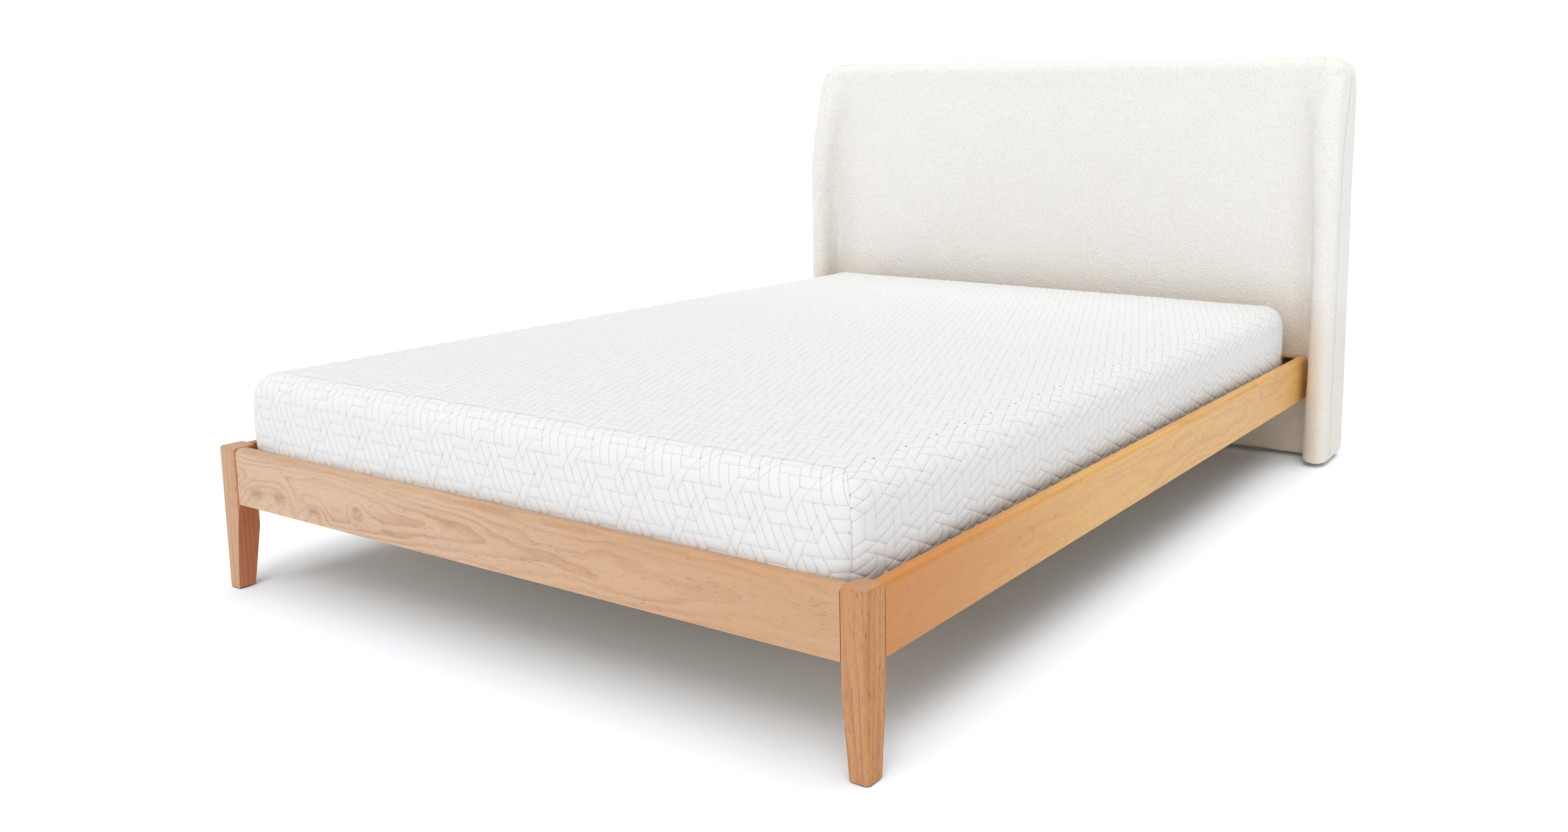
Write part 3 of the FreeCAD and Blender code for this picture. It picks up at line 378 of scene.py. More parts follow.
def boucle_material():
    """Cream looped yarn: round nubs 4 to 6 mm across with tight curls between them. It has painted
    warm shade and bounce light from the wooden rails towards the bottom, most of all between the
    wings, and painted shade in the valleys between the nubs and in the side seams."""
    s = Shader("boucle_cream")
    place = s.place()
    bent = s.warp(place, s.noise(place, 150, 2.0, 0.6, out=1), 0.007)
    nubs = s.node("ShaderNodeTexVoronoi", {"Vector": bent, "Scale": 190, "Smoothness": 0.7},
                  feature="SMOOTH_F1")
    curls = s.node("ShaderNodeTexVoronoi", {"Vector": bent, "Scale": 560})
    fuzz = s.noise(place, 1500, 2.0, 0.7)
    height = s.minus(s.minus(1.0, nubs), s.times(curls, 0.35))
    height = s.plus(height, s.times(fuzz, 0.12))
    valley_shade = s.ramp(nubs, 0.30, 0.85)
    patch = s.ramp(s.noise(place, 14, 3.0, 0.6), 0.3, 0.75)
    colour = s.mix(patch, rgb(0.945, 0.928, 0.890), rgb(0.932, 0.913, 0.872))
    # Painted warm shade in the valleys between the nubs.
    colour = s.mix(s.times(valley_shade, 0.22), colour, rgb(0.68, 0.58, 0.45))
    # Painted warm shade and bounce light from the wooden rails: warmer towards the bottom, most of
    # all between the wings.
    x, _, z = s.axes(place)
    low = s.ramp(z, 0.30, 0.54, 1.0, 0.0)
    painted_shade_between_wings = s.ramp(s.math("ABSOLUTE", x), 0.845, 0.875, 0.62, 0.26)
    colour = s.mix(s.times(low, painted_shade_between_wings), colour, rgb(0.76, 0.60, 0.42))
    # Painted shade in the creases of the side seams, read from a mesh attribute.
    colour = s.mix(s.times(s.attribute("seam_shade"), 0.42), colour, rgb(0.62, 0.49, 0.35))
    normal = s.bump(height, 0.0024, 0.8)
    return s.finish(colour, 0.96, normal, Sheen_Weight=0.18, Sheen_Roughness=0.6,
                    Specular_IOR_Level=0.12)


def quilt_material():
    """White knit ticking. Crease and stitch distances in millimetres come with the mesh. Its
    creases and stitch holes are darkened with painted shade.
    """
    s = Shader("ticking_quilted")
    place = s.place()
    crease = s.attribute("crease_mm")
    stitch = s.attribute("stitch_mm")
    along = s.attribute("stitch_along_mm")
    groove = s.ramp(crease, 0.0, 1.1, 1.0, 0.0)
    line = s.ramp(stitch, 0.2, 1.1, 1.0, 0.0)
    wave = s.math("SINE", s.times(along, 2 * math.pi / 4.4))
    dots = s.times(line, s.ramp(wave, -0.15, 0.75))
    knit = s.node("ShaderNodeTexVoronoi", {"Vector": place, "Scale": 900})
    slub = s.noise(place, 60, 3.0, 0.6)
    height = s.plus(s.times(knit, 0.10), s.times(slub, 0.16))
    height = s.minus(height, s.times(groove, 0.45))
    height = s.minus(height, s.times(line, 0.18))
    height = s.minus(height, s.times(dots, 0.6))
    colour = s.mix(s.ramp(slub, 0.3, 0.7), rgb(0.805, 0.805, 0.802), rgb(0.79, 0.79, 0.785))
    # Painted shade in the creases.
    colour = s.mix(s.times(groove, 0.22), colour, rgb(0.50, 0.495, 0.485))
    # Painted shade in the stitch holes.
    colour = s.mix(s.times(dots, 0.50), colour, rgb(0.42, 0.415, 0.40))
    normal = s.bump(height, 0.0012, 0.8)
    return s.finish(colour, 0.9, normal, Sheen_Weight=0.12, Specular_IOR_Level=0.2)


def lining_material(name="lining_twill", light=(0.50, 0.46, 0.40), dark=(0.36, 0.33, 0.28)):
    """Plain woven cloth in two crossed sets of threads."""
    s = Shader(name)
    place = s.place()
    warp, weft = (s.node("ShaderNodeTexWave", {"Vector": place, "Scale": 260, "Distortion": 0.6},
                         bands_direction=axis, out=1) for axis in "XZ")
    weave = s.times(warp, weft)
    blotch = s.noise(place, 14, 4.0, 0.6)
    colour = s.mix(weave, rgb(*dark), rgb(*light))
    colour = s.mix(s.times(blotch, 0.3), colour, rgb(*light))
    return s.finish(colour, 0.93, s.bump(weave, 0.0005, 0.6), Sheen_Weight=0.1)


def wood_material(name, light, dark, along, pith, ring=0.0075, slope=0.03, knots=(),
                  pores=0.5, satin=0.40, streak=0.5, wander=0.05, end=None, warm_light_tone=None,
                  painted_side_shade=None):
    """Sawn hardwood. along is the grain's axis, pith the heart's two places across it, and
    slope how fast the board drifts from the heart. knots are (place, size). blush is painted
    warm light: the stretch along the grain over which a redder, darker tone comes in, how much
    of it, and its colour. end is the colour of the sawn ends. flank paints shade on the faces
    towards +X by multiplying their colour."""
    s = Shader(name)
    turn = {"X": (0, 0, 0), "Y": (0, 0, -math.pi / 2), "Z": (0, math.pi / 2, 0)}[along]
    place = s.place(turn=turn)
    drift = s.noise(s.stretch(place, (0.35, 1.3, 1.3)), 9.0, 3.0, 0.55, out=1)
    spot = s.warp(place, drift, wander)
    run, y, z = s.axes(spot)
    y = s.minus(y, s.plus(s.times(run, slope), pith[0]))
    z = s.minus(z, pith[1])
    radius = s.math("POWER", s.plus(s.times(y, y), s.times(z, z)), 0.5)
    core = None
    for centre, size in knots:
        middle = (centre[0] * 0.6, centre[1], centre[2])
        gap = s.vector("DISTANCE", s.stretch(spot, (0.6, 1, 1)), middle, out=1)
        swell = s.ramp(gap, 0.0, size * 3.0, 1.0, 0.0)
        radius = s.plus(radius, s.times(swell, size * 1.6))
        dark_core = s.ramp(gap, size * 0.2, size * 1.1, 1.0, 0.0)
        core = dark_core if core is None else s.math("MAXIMUM", core, dark_core)
    rings = s.math("FRACT", s.math("DIVIDE", radius, ring))
    late = s.times(s.ramp(rings, 0.30, 0.86), s.ramp(rings, 0.88, 1.0, 1.0, 0.0))
    patchy = s.stretch(place, (3, 12, 12))
    late = s.times(late, s.ramp(s.noise(patchy, 1.0), 0.25, 0.75, 0.25, 1.0))
    fibre = s.noise(s.stretch(spot, (22, 520, 520)), 1.0, 3.0, 0.6)
    band = s.noise(s.stretch(spot, (2.2, 30, 30)), 1.0, 3.0, 0.55)
    pore = s.noise(s.stretch(place, (58, 430, 430)), 1.0, 2.0, 0.6)
    crowd = s.ramp(s.noise(patchy, 2.2), 0.35, 0.65, 0.35, 1.0)
    fleck = s.times(s.ramp(pore, 0.56, 0.70), crowd)
    tone = s.plus(s.times(late, streak), s.times(fibre, 0.30))
    tone = s.math("ADD", tone, s.minus(band, 0.5), clamp=True)
    colour = s.mix(tone, rgb(*light), rgb(*dark))
    # Painted warm light: a redder, darker tone that comes in along the grain.
    if warm_light_tone:
        (start, stop), amount, red = warm_light_tone
        share = s.ramp(run, start, stop, 0.0, amount)
        colour = s.mix(share, colour, rgb(*red))
    deep = rgb(*(0.42 * c for c in dark))
    colour = s.mix(s.times(fleck, pores), colour, deep)
    if core is not None:
        colour = s.mix(s.times(core, 0.38), colour, deep)
    if end:
        axis = {"X": (1, 0, 0), "Y": (0, 1, 0), "Z": (0, 0, 1)}[along]
        sawn = s.ramp(s.math("ABSOLUTE", s.facing(axis)), 0.45, 0.95)
        colour = s.mix(s.times(sawn, 0.6), colour, rgb(*end))
    # Painted shade on the faces towards +X, multiplied into the colour.
    if painted_side_shade:
        colour = s.mix(s.ramp(s.facing((1, 0, 0)), 0.5, 0.9), colour, rgb(*painted_side_shade), "MULTIPLY")
    height = s.minus(s.times(fibre, 0.3), s.times(fleck, 0.6))
    height = s.minus(height, s.times(late, 0.10))
    rough = s.ramp(fibre, 0.2, 0.8, satin - 0.05, satin + 0.10)
    normal = s.bump(height, 0.00035, 0.6)
    return s.finish(colour, rough, normal, Coat_Weight=0.12, Coat_Roughness=0.35)


def plywood_material():
    s = Shader("plywood_poplar")
    place = s.place(scale=(2.5, 40, 40))
    grain = s.noise(place, 3.0, 4.0, 0.6, 1.2)
    plies = s.node("ShaderNodeTexWave", {"Vector": s.place(), "Scale": 140, "Distortion": 0.4},
                   bands_direction="Y", out=1)
    colour = s.mix(grain, rgb(0.66, 0.52, 0.35), rgb(0.50, 0.36, 0.22))
    colour = s.mix(s.times(plies, 0.3), colour, rgb(0.42, 0.28, 0.16))
    return s.finish(colour, 0.75, s.bump(grain, 0.0006, 0.5))


def plastic_material():
    s = Shader("plastic_black")
    grain = s.noise(s.place(), 900, 2.0, 0.6)
    colour = s.mix(grain, rgb(0.022, 0.022, 0.023), rgb(0.045, 0.045, 0.046))
    return s.finish(colour, 0.55, s.bump(grain, 0.0003, 0.4))


def metal_material(name, light, dark, rough, metallic):
    s = Shader(name)
    brushed = s.noise(s.place(scale=(60, 900, 900)), 1.0, 3.0, 0.6)
    cloud = s.noise(s.place(), 40, 3.0, 0.6)
    colour = s.mix(cloud, rgb(*light), rgb(*dark))
    uneven = s.ramp(brushed, 0.2, 0.8, rough - 0.08, rough + 0.12)
    return s.finish(colour, uneven, s.bump(brushed, 0.0002, 0.4), Metallic=metallic)


def floor_material():
    s = Shader("studio_floor")
    speckle = s.noise(s.place(), 3.0)
    colour = s.mix(speckle, rgb(0.86, 0.893, 0.935), rgb(0.85, 0.883, 0.925))
    return s.finish(colour, 0.9, Specular_IOR_Level=0.1)


# ---- headboard

def round_cut(a, b, radius):
    """Both of two solids, with a rounded edge where they meet."""
    outside = np.hypot(np.maximum(a + radius, 0), np.maximum(b + radius, 0))
    return np.minimum(-radius, np.maximum(a, b)) + outside


def round_join(a, b, radius):
    """Either of two solids, with a fillet where they meet."""
    inside = np.hypot(np.maximum(radius - a, 0), np.maximum(radius - b, 0))
    return np.maximum(radius, np.minimum(a, b)) - inside


def sweep_distance(y, z):
    """Distance from the wing's front edge seen from the side, negative behind it."""
    rise = np.maximum(z - SWEEP_START, 0)
    depth = BACK_Y - y
    q = np.sqrt((depth / WING_DEPTH) ** 2 + (rise / SWEEP_HEIGHT) ** 2)
    slope = np.sqrt((depth / WING_DEPTH**2) ** 2 + (rise / SWEEP_HEIGHT**2) ** 2)
    return q * (q - 1) / np.maximum(slope, 1e-6)


def headboard_distance(p):
    """Roughly the distance from the headboard's outer surface, negative inside."""
    x, y, z = np.abs(p[:, 0]), p[:, 1], p[:, 2]
    share = np.clip((z - FILLET_START) / FILLET_RISE, 0, 1)
    fillet = LOW_FILLET + (HIGH_FILLET - LOW_FILLET) * share
    fillet *= np.clip(FOOT_SHARE + (z - HEAD_BOTTOM) / FOOT_REACH, FOOT_SHARE, 1)
    wing = round_cut(sweep_distance(y, z), WING_INNER_X - x, NOSE_RADIUS)
    front = round_join(PANEL_Y - y, wing, fillet)
    outline = round_cut(x - HALF_WIDTH, z - HEAD_TOP, TOP_CORNER_RADIUS)
    solid = round_cut(front, outline, NOSE_RADIUS + 0.004 * share)
    solid = round_cut(solid, y - BACK_Y, BACK_RADIUS)
    return round_cut(solid, HEAD_BOTTOM - z, BOTTOM_RADIUS)


def settle(points, distance, steps=8, reach=2e-4):
    """Moves points on to the surface where distance is zero."""
    p = points.copy()
    for _ in range(steps):
        value = distance(p)
        slope = np.stack([
            (distance(p + reach * axis) - distance(p - reach * axis)) / (2 * reach)
            for axis in np.eye(3)
        ], axis=1)
        length = np.maximum((slope**2).sum(axis=1), 0.25)
        p -= (value / length)[:, None] * slope
    return p


def seam_place(z):
    """How far back the side seam lies at a height: it leans back towards the top."""
    lean = np.clip((z - 0.60) / 0.50, 0, 1)
    return SEAM_Y + 0.008 * np.clip((z - 0.35) / 0.25, 0, 1) + 0.085 * lean**3.2


def headboard_levels(step):
    """Rows from the underside's seam line up to the back of the top edge, as
    (height, inset, how far the row has closed towards the ridge)."""
    quarter = np.linspace(0, math.pi / 2, 6)[1:]
    low = HEAD_BOTTOM + BOTTOM_RADIUS
    high = HEAD_TOP - TOP_FRONT_RADIUS
    rows = [(HEAD_BOTTOM, BOTTOM_RADIUS, c) for c in (1.0, 0.66, 0.33, 0.0)]
    for angle in quarter:
        lift = BOTTOM_RADIUS * math.sin(angle)
        rows.append((low - BOTTOM_RADIUS * math.cos(angle), BOTTOM_RADIUS - lift, 0.0))
    count = round((high - low) / step)
    rows += [(low + (high - low) * i / count, 0.0, 0.0) for i in range(1, count + 1)]
    turn = max(4, round(TOP_FRONT_RADIUS * math.pi / 2 / step))
    for angle in np.linspace(0, math.pi / 2, turn + 1)[1:]:
        inset = TOP_FRONT_RADIUS * (1 - math.cos(angle))
        rows.append((high + TOP_FRONT_RADIUS * math.sin(angle), inset, 0.0))
    closing = max(3, round(0.040 / step))
    rows += [(HEAD_TOP, TOP_FRONT_RADIUS, i / closing) for i in range(1, closing + 1)]
    return rows


def headboard_columns(step):
    """How many steps each stretch of the right half of a row has."""
    lengths = {
        "panel": WING_INNER_X, "inner": PANEL_Y - NOSE_Y, "nose": HALF_WIDTH - WING_INNER_X,
        "outer": SEAM_Y - NOSE_Y, "boxing": BACK_Y - SEAM_Y + HALF_WIDTH - SEAM_BACK_X,
    }
    counts = {name: max(3, round(length / step)) for name, length in lengths.items()}
    counts["corner"] = 3
    return counts


def headboard_row(height, inset, closed, counts):
    """One row of the right half, from the middle of the front round to the middle of the
    back. The ends of the stretches are joined by straight runs."""
    over = max(height - (HEAD_TOP - TOP_CORNER_RADIUS), 0)
    half = HALF_WIDTH - TOP_CORNER_RADIUS + math.sqrt(max(TOP_CORNER_RADIUS**2 - over**2, 0))
    half -= inset * 0.35
    front = PANEL_Y + inset
    rise = min(max(height - SWEEP_START, 0) / SWEEP_HEIGHT, 0.97)
    nose = min(BACK_Y - WING_DEPTH * math.sqrt(1 - rise**2), PANEL_Y - 0.006) + inset
    back = BACK_Y - min(inset, 0.012)
    seam = min(float(seam_place(height)), back - 0.012)
    inner_x = min(WING_INNER_X, half - 0.03)
    stops = [
        ((0, front), (inner_x, front), "panel"),
        ((inner_x, front), (inner_x, nose), "inner"),
        ((inner_x, nose), (half, nose), "nose"),
        ((half, nose), (half, seam), "outer"),
        ((half, seam), (half - 0.014, back), "boxing"),
        ((half - 0.014, back), (inner_x, back), "corner"),
        ((inner_x, back), (0, back), "panel"),
    ]
    points = []
    for (x0, y0), (x1, y1), name in stops:
        t = np.arange(counts[name]) / counts[name]
        points.append(np.stack([x0 + (x1 - x0) * t, y0 + (y1 - y0) * t], axis=1))
    points.append(np.array([[0.0, back]]))
    row = np.concatenate(points)
    ridge_half = HALF_WIDTH - TOP_CORNER_RADIUS - 0.02
    ridge_x = np.minimum(row[:, 0] / inner_x, 1.0) * ridge_half
    ridge = np.stack([ridge_x, np.full(len(row), RIDGE_Y)], axis=1)
    row = row * (1 - closed) + ridge * closed
    return np.column_stack([row, np.full(len(row), height)])


def headboard_grid(step):
    """The whole headboard as rows of points: the right half, then the left half mirrored."""
    counts = headboard_columns(step)
    right = np.array([headboard_row(*level, counts) for level in headboard_levels(step)])
    shape = right.shape
    right = settle(right.reshape(-1, 3), headboard_distance).reshape(shape)
    right[:, [0, -1], 0] = 0.0
    right[0, :, 2] = right[0, :, 2].mean()
    left = right[:, ::-1] * np.array([-1, 1, 1])
    return np.concatenate([right, left[:, 1:-1]], axis=1)


def headboard_swell():
    """How a firm foam core pushes the cover out between its seams, on a coarse grid."""
    grid = headboard_grid(SIM_HEAD_STEP)
    rows, columns = grid.shape[:2]
    points, faces, inverse = weld(grid.reshape(-1, 3), grid_quads(rows, columns, closed=True))
    back = points[:, 1] > BACK_Y - 0.004
    low = points[:, 2] < HEAD_BOTTOM + 0.004
    side = np.abs(points[:, 0]) > HALF_WIDTH - 0.012
    seam = side & (np.abs(points[:, 1] - seam_place(points[:, 2])) < 0.009)
    pinned = back | low | seam
    moved = inflate("headboard_sim", points, faces, pinned, HEAD_PRESSURE, HEAD_SWELL)
    return moved[inverse].reshape(rows, columns, 3)


def headboard_surface(step):
    """The finished cover surface: shape, swelling, seam creases and yarn lumps. Each point has
    its place and how much of a crease it is in."""
    grid = headboard_grid(step)
    rows, columns = grid.shape[:2]
    plain = grid.reshape(-1, 3)
    quads = grid_quads(rows, columns, closed=True)
    corners = np.concatenate([quads[:, [0, 1, 2]], quads[:, [0, 2, 3]]])
    welded, triangles, inverse = weld(plain, corners)
    normals = triangle_normals(welded, triangles)[inverse]
    full = plain
    swell = headboard_swell()
    wrapped = np.concatenate([swell, swell[:, :1]], axis=1)
    coarse = [np.linspace(0, 1, size) for size in wrapped.shape[:2]]
    row_at = np.linspace(0, 1, rows)[:, None]
    column_at = np.linspace(0, 1, columns + 1)[None, :-1]
    full = plain + between(wrapped, *coarse, row_at, column_at).reshape(-1, 3)
    x, y, z = np.abs(plain[:, 0]), plain[:, 1], plain[:, 2]
    side = np.clip((x - HALF_WIDTH + 0.03) / 0.02, 0, 1)
    from_seam = y - seam_place(z)
    from_back = np.hypot(x - (HALF_WIDTH - 0.012), y - BACK_Y)
    crease = side * np.exp(-((from_seam / SEAM_WIDTH) ** 2))
    puff = side * np.exp(-((np.abs(from_seam) - 0.016) / 0.010) ** 2)
    crease += 0.5 * np.exp(-((from_back / SEAM_WIDTH) ** 2))
    lumps = 0.55 * soft_noise(full, 0.0125, 3) + 0.45 * soft_noise(full, 0.0080, 8)
    rolling = soft_noise(full, 0.11, 5)
    front = (y < BACK_Y - 0.006).astype(float)
    lift = YARN_LUMP * (lumps + rolling) * front - SEAM_DEPTH * crease + 0.0012 * puff
    surface = np.column_stack([full + normals * lift[:, None], np.clip(crease, 0, 1)])
    return surface.reshape(rows, columns, 4)


def make_headboard(materials):
    step = HEAD_STEP
    surface = headboard_surface(step)
    counts = headboard_columns(step)
    rows, columns = surface.shape[:2]
    to_seam = counts["panel"] + counts["inner"] + counts["nose"] + counts["outer"]
    to_back = to_seam + counts["boxing"]
    half = to_back + counts["corner"] + counts["panel"]
    pieces = {
        "headboard_cover_front": (-to_seam, to_seam, [
            "headboard_front_cover", "headboard_foam", "wing_foam_left", "wing_foam_right"]),
        "headboard_cover_side_right": (to_seam, to_back, ["headboard_side_cover_right"]),
        "headboard_cover_side_left": (-to_back, -to_seam, ["headboard_side_cover_left"]),
        "headboard_back_lining": (to_back, 2 * half - to_back, ["headboard_back_cover"]),
    }
    for name, (start, stop, nodes) in pieces.items():
        span = np.arange(start, stop + 1) % columns
        part = surface[:, span].reshape(-1, 4)
        points, faces, inverse = weld(part[:, :3], grid_quads(rows, len(span)))
        # How much of a seam crease each point is in; the bouclé paints shade there.
        seam_shade = np.zeros(len(points), np.float32)
        seam_shade[inverse] = part[:, 3]
        lining = name == "headboard_back_lining"
        slot = "lining" if lining else "boucle"
        piece = new_piece(name, points, faces, materials[slot], "bed_frame", {"seam_shade": seam_shade})
        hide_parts(*nodes)


# ---- quilted mattress

# Lines of one repeat, as (X, row) ends. Rows run towards the foot; a slanted line moves half
# a unit along X for each row.
CREASES = [
    ((0, 0), (2, 0)), ((0.5, 1), (4.5, 1)), ((3, 2), (5, 2)), ((3.5, 3), (7.5, 3)),
    ((2, 2), (0, 6)), ((3, 2), (2, 4)), ((6, 0), (5, 2)),
]
STITCHES = [
    ((1.5, -1), (4.5, 5)), ((4.5, -1), (6.5, 3)), ((5, 2), (6, 4)), ((1.5, 1), (3.5, 5)),
    ((0.5, 1), (1.5, 3)),
]


def line_distance(x, row, lines, unit, row_size):
    """Distance in millimetres to the nearest line, and the place along it."""
    shape = x.shape
    cells = np.stack([np.mod(x, REPEAT_X).reshape(-1), np.mod(row, REPEAT_ROWS).reshape(-1)], 1)
    keys = np.round(cells * 1e4).astype(np.int64)
    keys = keys[:, 0] * 100000 + keys[:, 1]
    _, first, back = np.unique(keys, return_index=True, return_inverse=True)
    x, row = cells[first].T
    best = np.full(x.shape, 99.0)
    along = np.zeros(x.shape)
    size = np.array([unit, row_size]) / MM
    cell = np.array([REPEAT_X, REPEAT_ROWS]) * size
    for start, end in lines:
        for copy in np.ndindex(5, 5):
            a = np.array(start) * size + (np.array(copy) - 2) * cell
            b = np.array(end) * size + (np.array(copy) - 2) * cell
            low, high = np.minimum(a, b) - 12, np.maximum(a, b) + 12
            if (high < 0).any() or (low > cell).any():
                continue
            run = b - a
            length = np.hypot(*run)
            px, py = x * size[0] - a[0], row * size[1] - a[1]
            t = np.clip((px * run[0] + py * run[1]) / length**2, 0, 1)
            gap = np.hypot(px - t * run[0], py - t * run[1])
            along = np.where(gap < best, t * length, along)
            best = np.minimum(gap, best)
    back = back.reshape(-1)
    return best[back].reshape(shape), along[back].reshape(shape)


def lattice(low, high, spacing):
    """Places at whole multiples of spacing between low and high, with both ends."""
    inside = np.arange(math.ceil(low / spacing + 1e-6), math.floor(high / spacing - 1e-6) + 1)
    return np.concatenate([[low], inside * spacing, [high]])


def flap_profile(down):
    """Outward reach and height of the mattress edge at a distance down its border."""
    roll = np.clip(down, 0, ROLL_LENGTH) / ROLL
    tuck = np.minimum(down, 0)
    under = np.clip(down - ROLL_LENGTH - SIDE_LENGTH, 0, UNDER_LENGTH) / UNDER_ROLL
    straight = np.clip(down - ROLL_LENGTH, 0, SIDE_LENGTH)
    reach = ROLL * np.sin(roll) - UNDER_ROLL * (1 - np.cos(under)) + tuck
    height = MAT_TOP - ROLL * (1 - np.cos(roll)) - straight - UNDER_ROLL * np.sin(under) + tuck / 3
    return reach, height


def border_ends(side):
    """Where the straight part of a border starts and stops."""
    return (FLAT_FOOT, FLAT_HEAD) if side in ("left", "right") else (-FLAT_X, FLAT_X)


def flap_points(side, long, down):
    """Points of one border. long runs along the edge of the flat top, down is measured over
    the rolled edge. Round a corner the border ends at the seam half way."""
    reach, height = flap_profile(down)
    start, stop = border_ends(side)
    beyond = np.maximum(long - stop, 0) - np.maximum(start - long, 0)
    angle = np.clip(beyond / np.maximum(np.abs(reach), 1e-5), -math.pi / 4, math.pi / 4)
    along = np.clip(long, start, stop) + reach * np.sin(angle)
    out = reach * np.cos(angle)
    if side in ("left", "right"):
        across = FLAT_X + out
        return np.stack([across if side == "right" else -across, along, height], axis=-1)
    across = FLAT_HEAD + out if side == "head" else FLAT_FOOT - out
    return np.stack([along, across, height], axis=-1)


def seam_gap(side, long, down):
    """Distance along the border to the nearer corner seam."""
    start, stop = border_ends(side)
    corner = flap_profile(down)[0] * math.pi / 4
    return np.minimum(np.abs(long - start + corner), np.abs(stop + corner - long))


def top_x(x):
    return (x - PHASE_X) / UNIT


def top_row(y):
    return ROW_AT_FOOT - (y - FLAT_FOOT) / ROW


def foot_row(down):
    on_roll = ROW_AT_FOOT + down * (ROW_UNDER_ROLL - ROW_AT_FOOT) / ROLL_LENGTH
    below = ROW_UNDER_ROLL + (down - ROLL_LENGTH) / FOOT_ROW
    return np.where(down < ROLL_LENGTH, on_roll, below)


def head_row(down):
    return top_row(FLAT_HEAD) - down / ROW


def right_x(down):
    return SIDE_X_UNDER_ROLL + (down - ROLL_LENGTH) / SIDE_UNIT


def left_x(down):
    return top_x(-FLAT_X) - down / UNIT


def inverse_of(function, low, high):
    """Turns a rising or falling function of one length into its inverse."""
    lengths = np.linspace(low, high, 4001)
    values = function(lengths)
    order = np.argsort(values)
    return lambda v: np.interp(v, values[order], lengths[order])


def quilt_parts(fine, coarse):
    """Vertex places of the top and the four borders, on grids that follow the quilting. Each
    border starts tucked a little way under the top."""
    down = (-TUCK, FLAP_LENGTH)
    wide = (-FLAT_X - MARGIN, FLAT_X + MARGIN)
    deep = (FLAT_FOOT - MARGIN, FLAT_HEAD + MARGIN)
    layouts = {
        "top": (top_x, (-FLAT_X, FLAT_X), top_row, (FLAT_FOOT, FLAT_HEAD), coarse, (UNIT, ROW)),
        "foot": (top_x, wide, foot_row, down, fine, (UNIT, FOOT_ROW)),
        "right": (right_x, down, top_row, deep, fine, (SIDE_UNIT, ROW)),
        "left": (left_x, down, top_row, deep, coarse, (UNIT, ROW)),
        "head": (top_x, wide, head_row, down, coarse, (UNIT, ROW)),
    }
    parts = []
    for name, (x_at, x_span, row_at, row_span, density, size) in layouts.items():
        xs = lattice(*sorted(x_at(np.array(x_span))), 0.5 / density)
        rows = lattice(*sorted(row_at(np.array(row_span))), 1.0 / density)
        grid_x, grid_row = np.meshgrid(xs, rows, indexing="ij")
        long, across = inverse_of(x_at, *x_span)(grid_x), inverse_of(row_at, *row_span)(grid_row)
        if name in ("left", "right"):
            long, across = across, long
        if name == "top":
            points = np.stack([long, across, np.full(long.shape, MAT_TOP)], axis=-1)
        else:
            points = flap_points(name, long, across)
        parts.append({"name": name, "x": grid_x, "row": grid_row, "long": long, "down": across,
                      "points": points, "size": size})
    return parts


def mattress_swell():
    """How the foam fills the cover, by Cloth on a coarse block: the rows, columns and
    movement of the top and of each border."""
    wide = round(2 * FLAT_X / SIM_MATTRESS_STEP) + 1
    deep = round((FLAT_HEAD - FLAT_FOOT) / SIM_MATTRESS_STEP) + 1
    flat_x = np.linspace(-FLAT_X, FLAT_X, wide)
    flat_y = np.linspace(FLAT_FOOT, FLAT_HEAD, deep)
    downs = np.concatenate([
        np.linspace(0, ROLL_LENGTH, 5)[:-1],
        np.linspace(ROLL_LENGTH, ROLL_LENGTH + SIDE_LENGTH, 6),
        np.linspace(ROLL_LENGTH + SIDE_LENGTH, FLAP_LENGTH, 4)[1:],
    ])
    x, y = np.meshgrid(flat_x, flat_y, indexing="ij")
    grids = {"top": (flat_x, flat_y, np.stack([x, y, np.full(x.shape, MAT_TOP)], axis=-1))}
    for side in ("foot", "head", "left", "right"):
        middle = flat_x if side in ("foot", "head") else flat_y
        ends = np.array([MARGIN, MARGIN / 2])
        long = np.concatenate([middle[0] - ends, middle, middle[-1] + ends[::-1]])
        places = np.meshgrid(long, downs, indexing="ij")
        grids[side] = (long, downs, flap_points(side, *places))
    grow = np.array([(MAT_HIGH.x - UNDER_ROLL) / FLAT_X, 1.0, 1.0])
    under = grids["top"][2] * grow
    under[:, :, 1] = np.linspace(MAT_LOW.y + UNDER_ROLL, MAT_HIGH.y - UNDER_ROLL, len(flat_y))
    under[:, :, 2] = MAT_LOW.z
    every = [grid for _, _, grid in grids.values()] + [under]
    starts = np.cumsum([0] + [grid.shape[0] * grid.shape[1] for grid in every])
    quads = [grid_quads(*grid.shape[:2]) + start for grid, start in zip(every, starts)]
    points = np.concatenate([grid.reshape(-1, 3) for grid in every])
    welded, quads, inverse = weld(points, np.concatenate(quads))
    pinned = welded[:, 2] < MAT_LOW.z + 0.002
    moved = inflate("mattress_sim", welded, quads, pinned, MATTRESS_PRESSURE, MATTRESS_SWELL)
    moved = moved[inverse]
    made = {}
    for (side, (rows, columns, grid)), start, stop in zip(grids.items(), starts, starts[1:]):
        made[side] = (moved[start:stop].reshape(grid.shape), rows, columns)
    return made


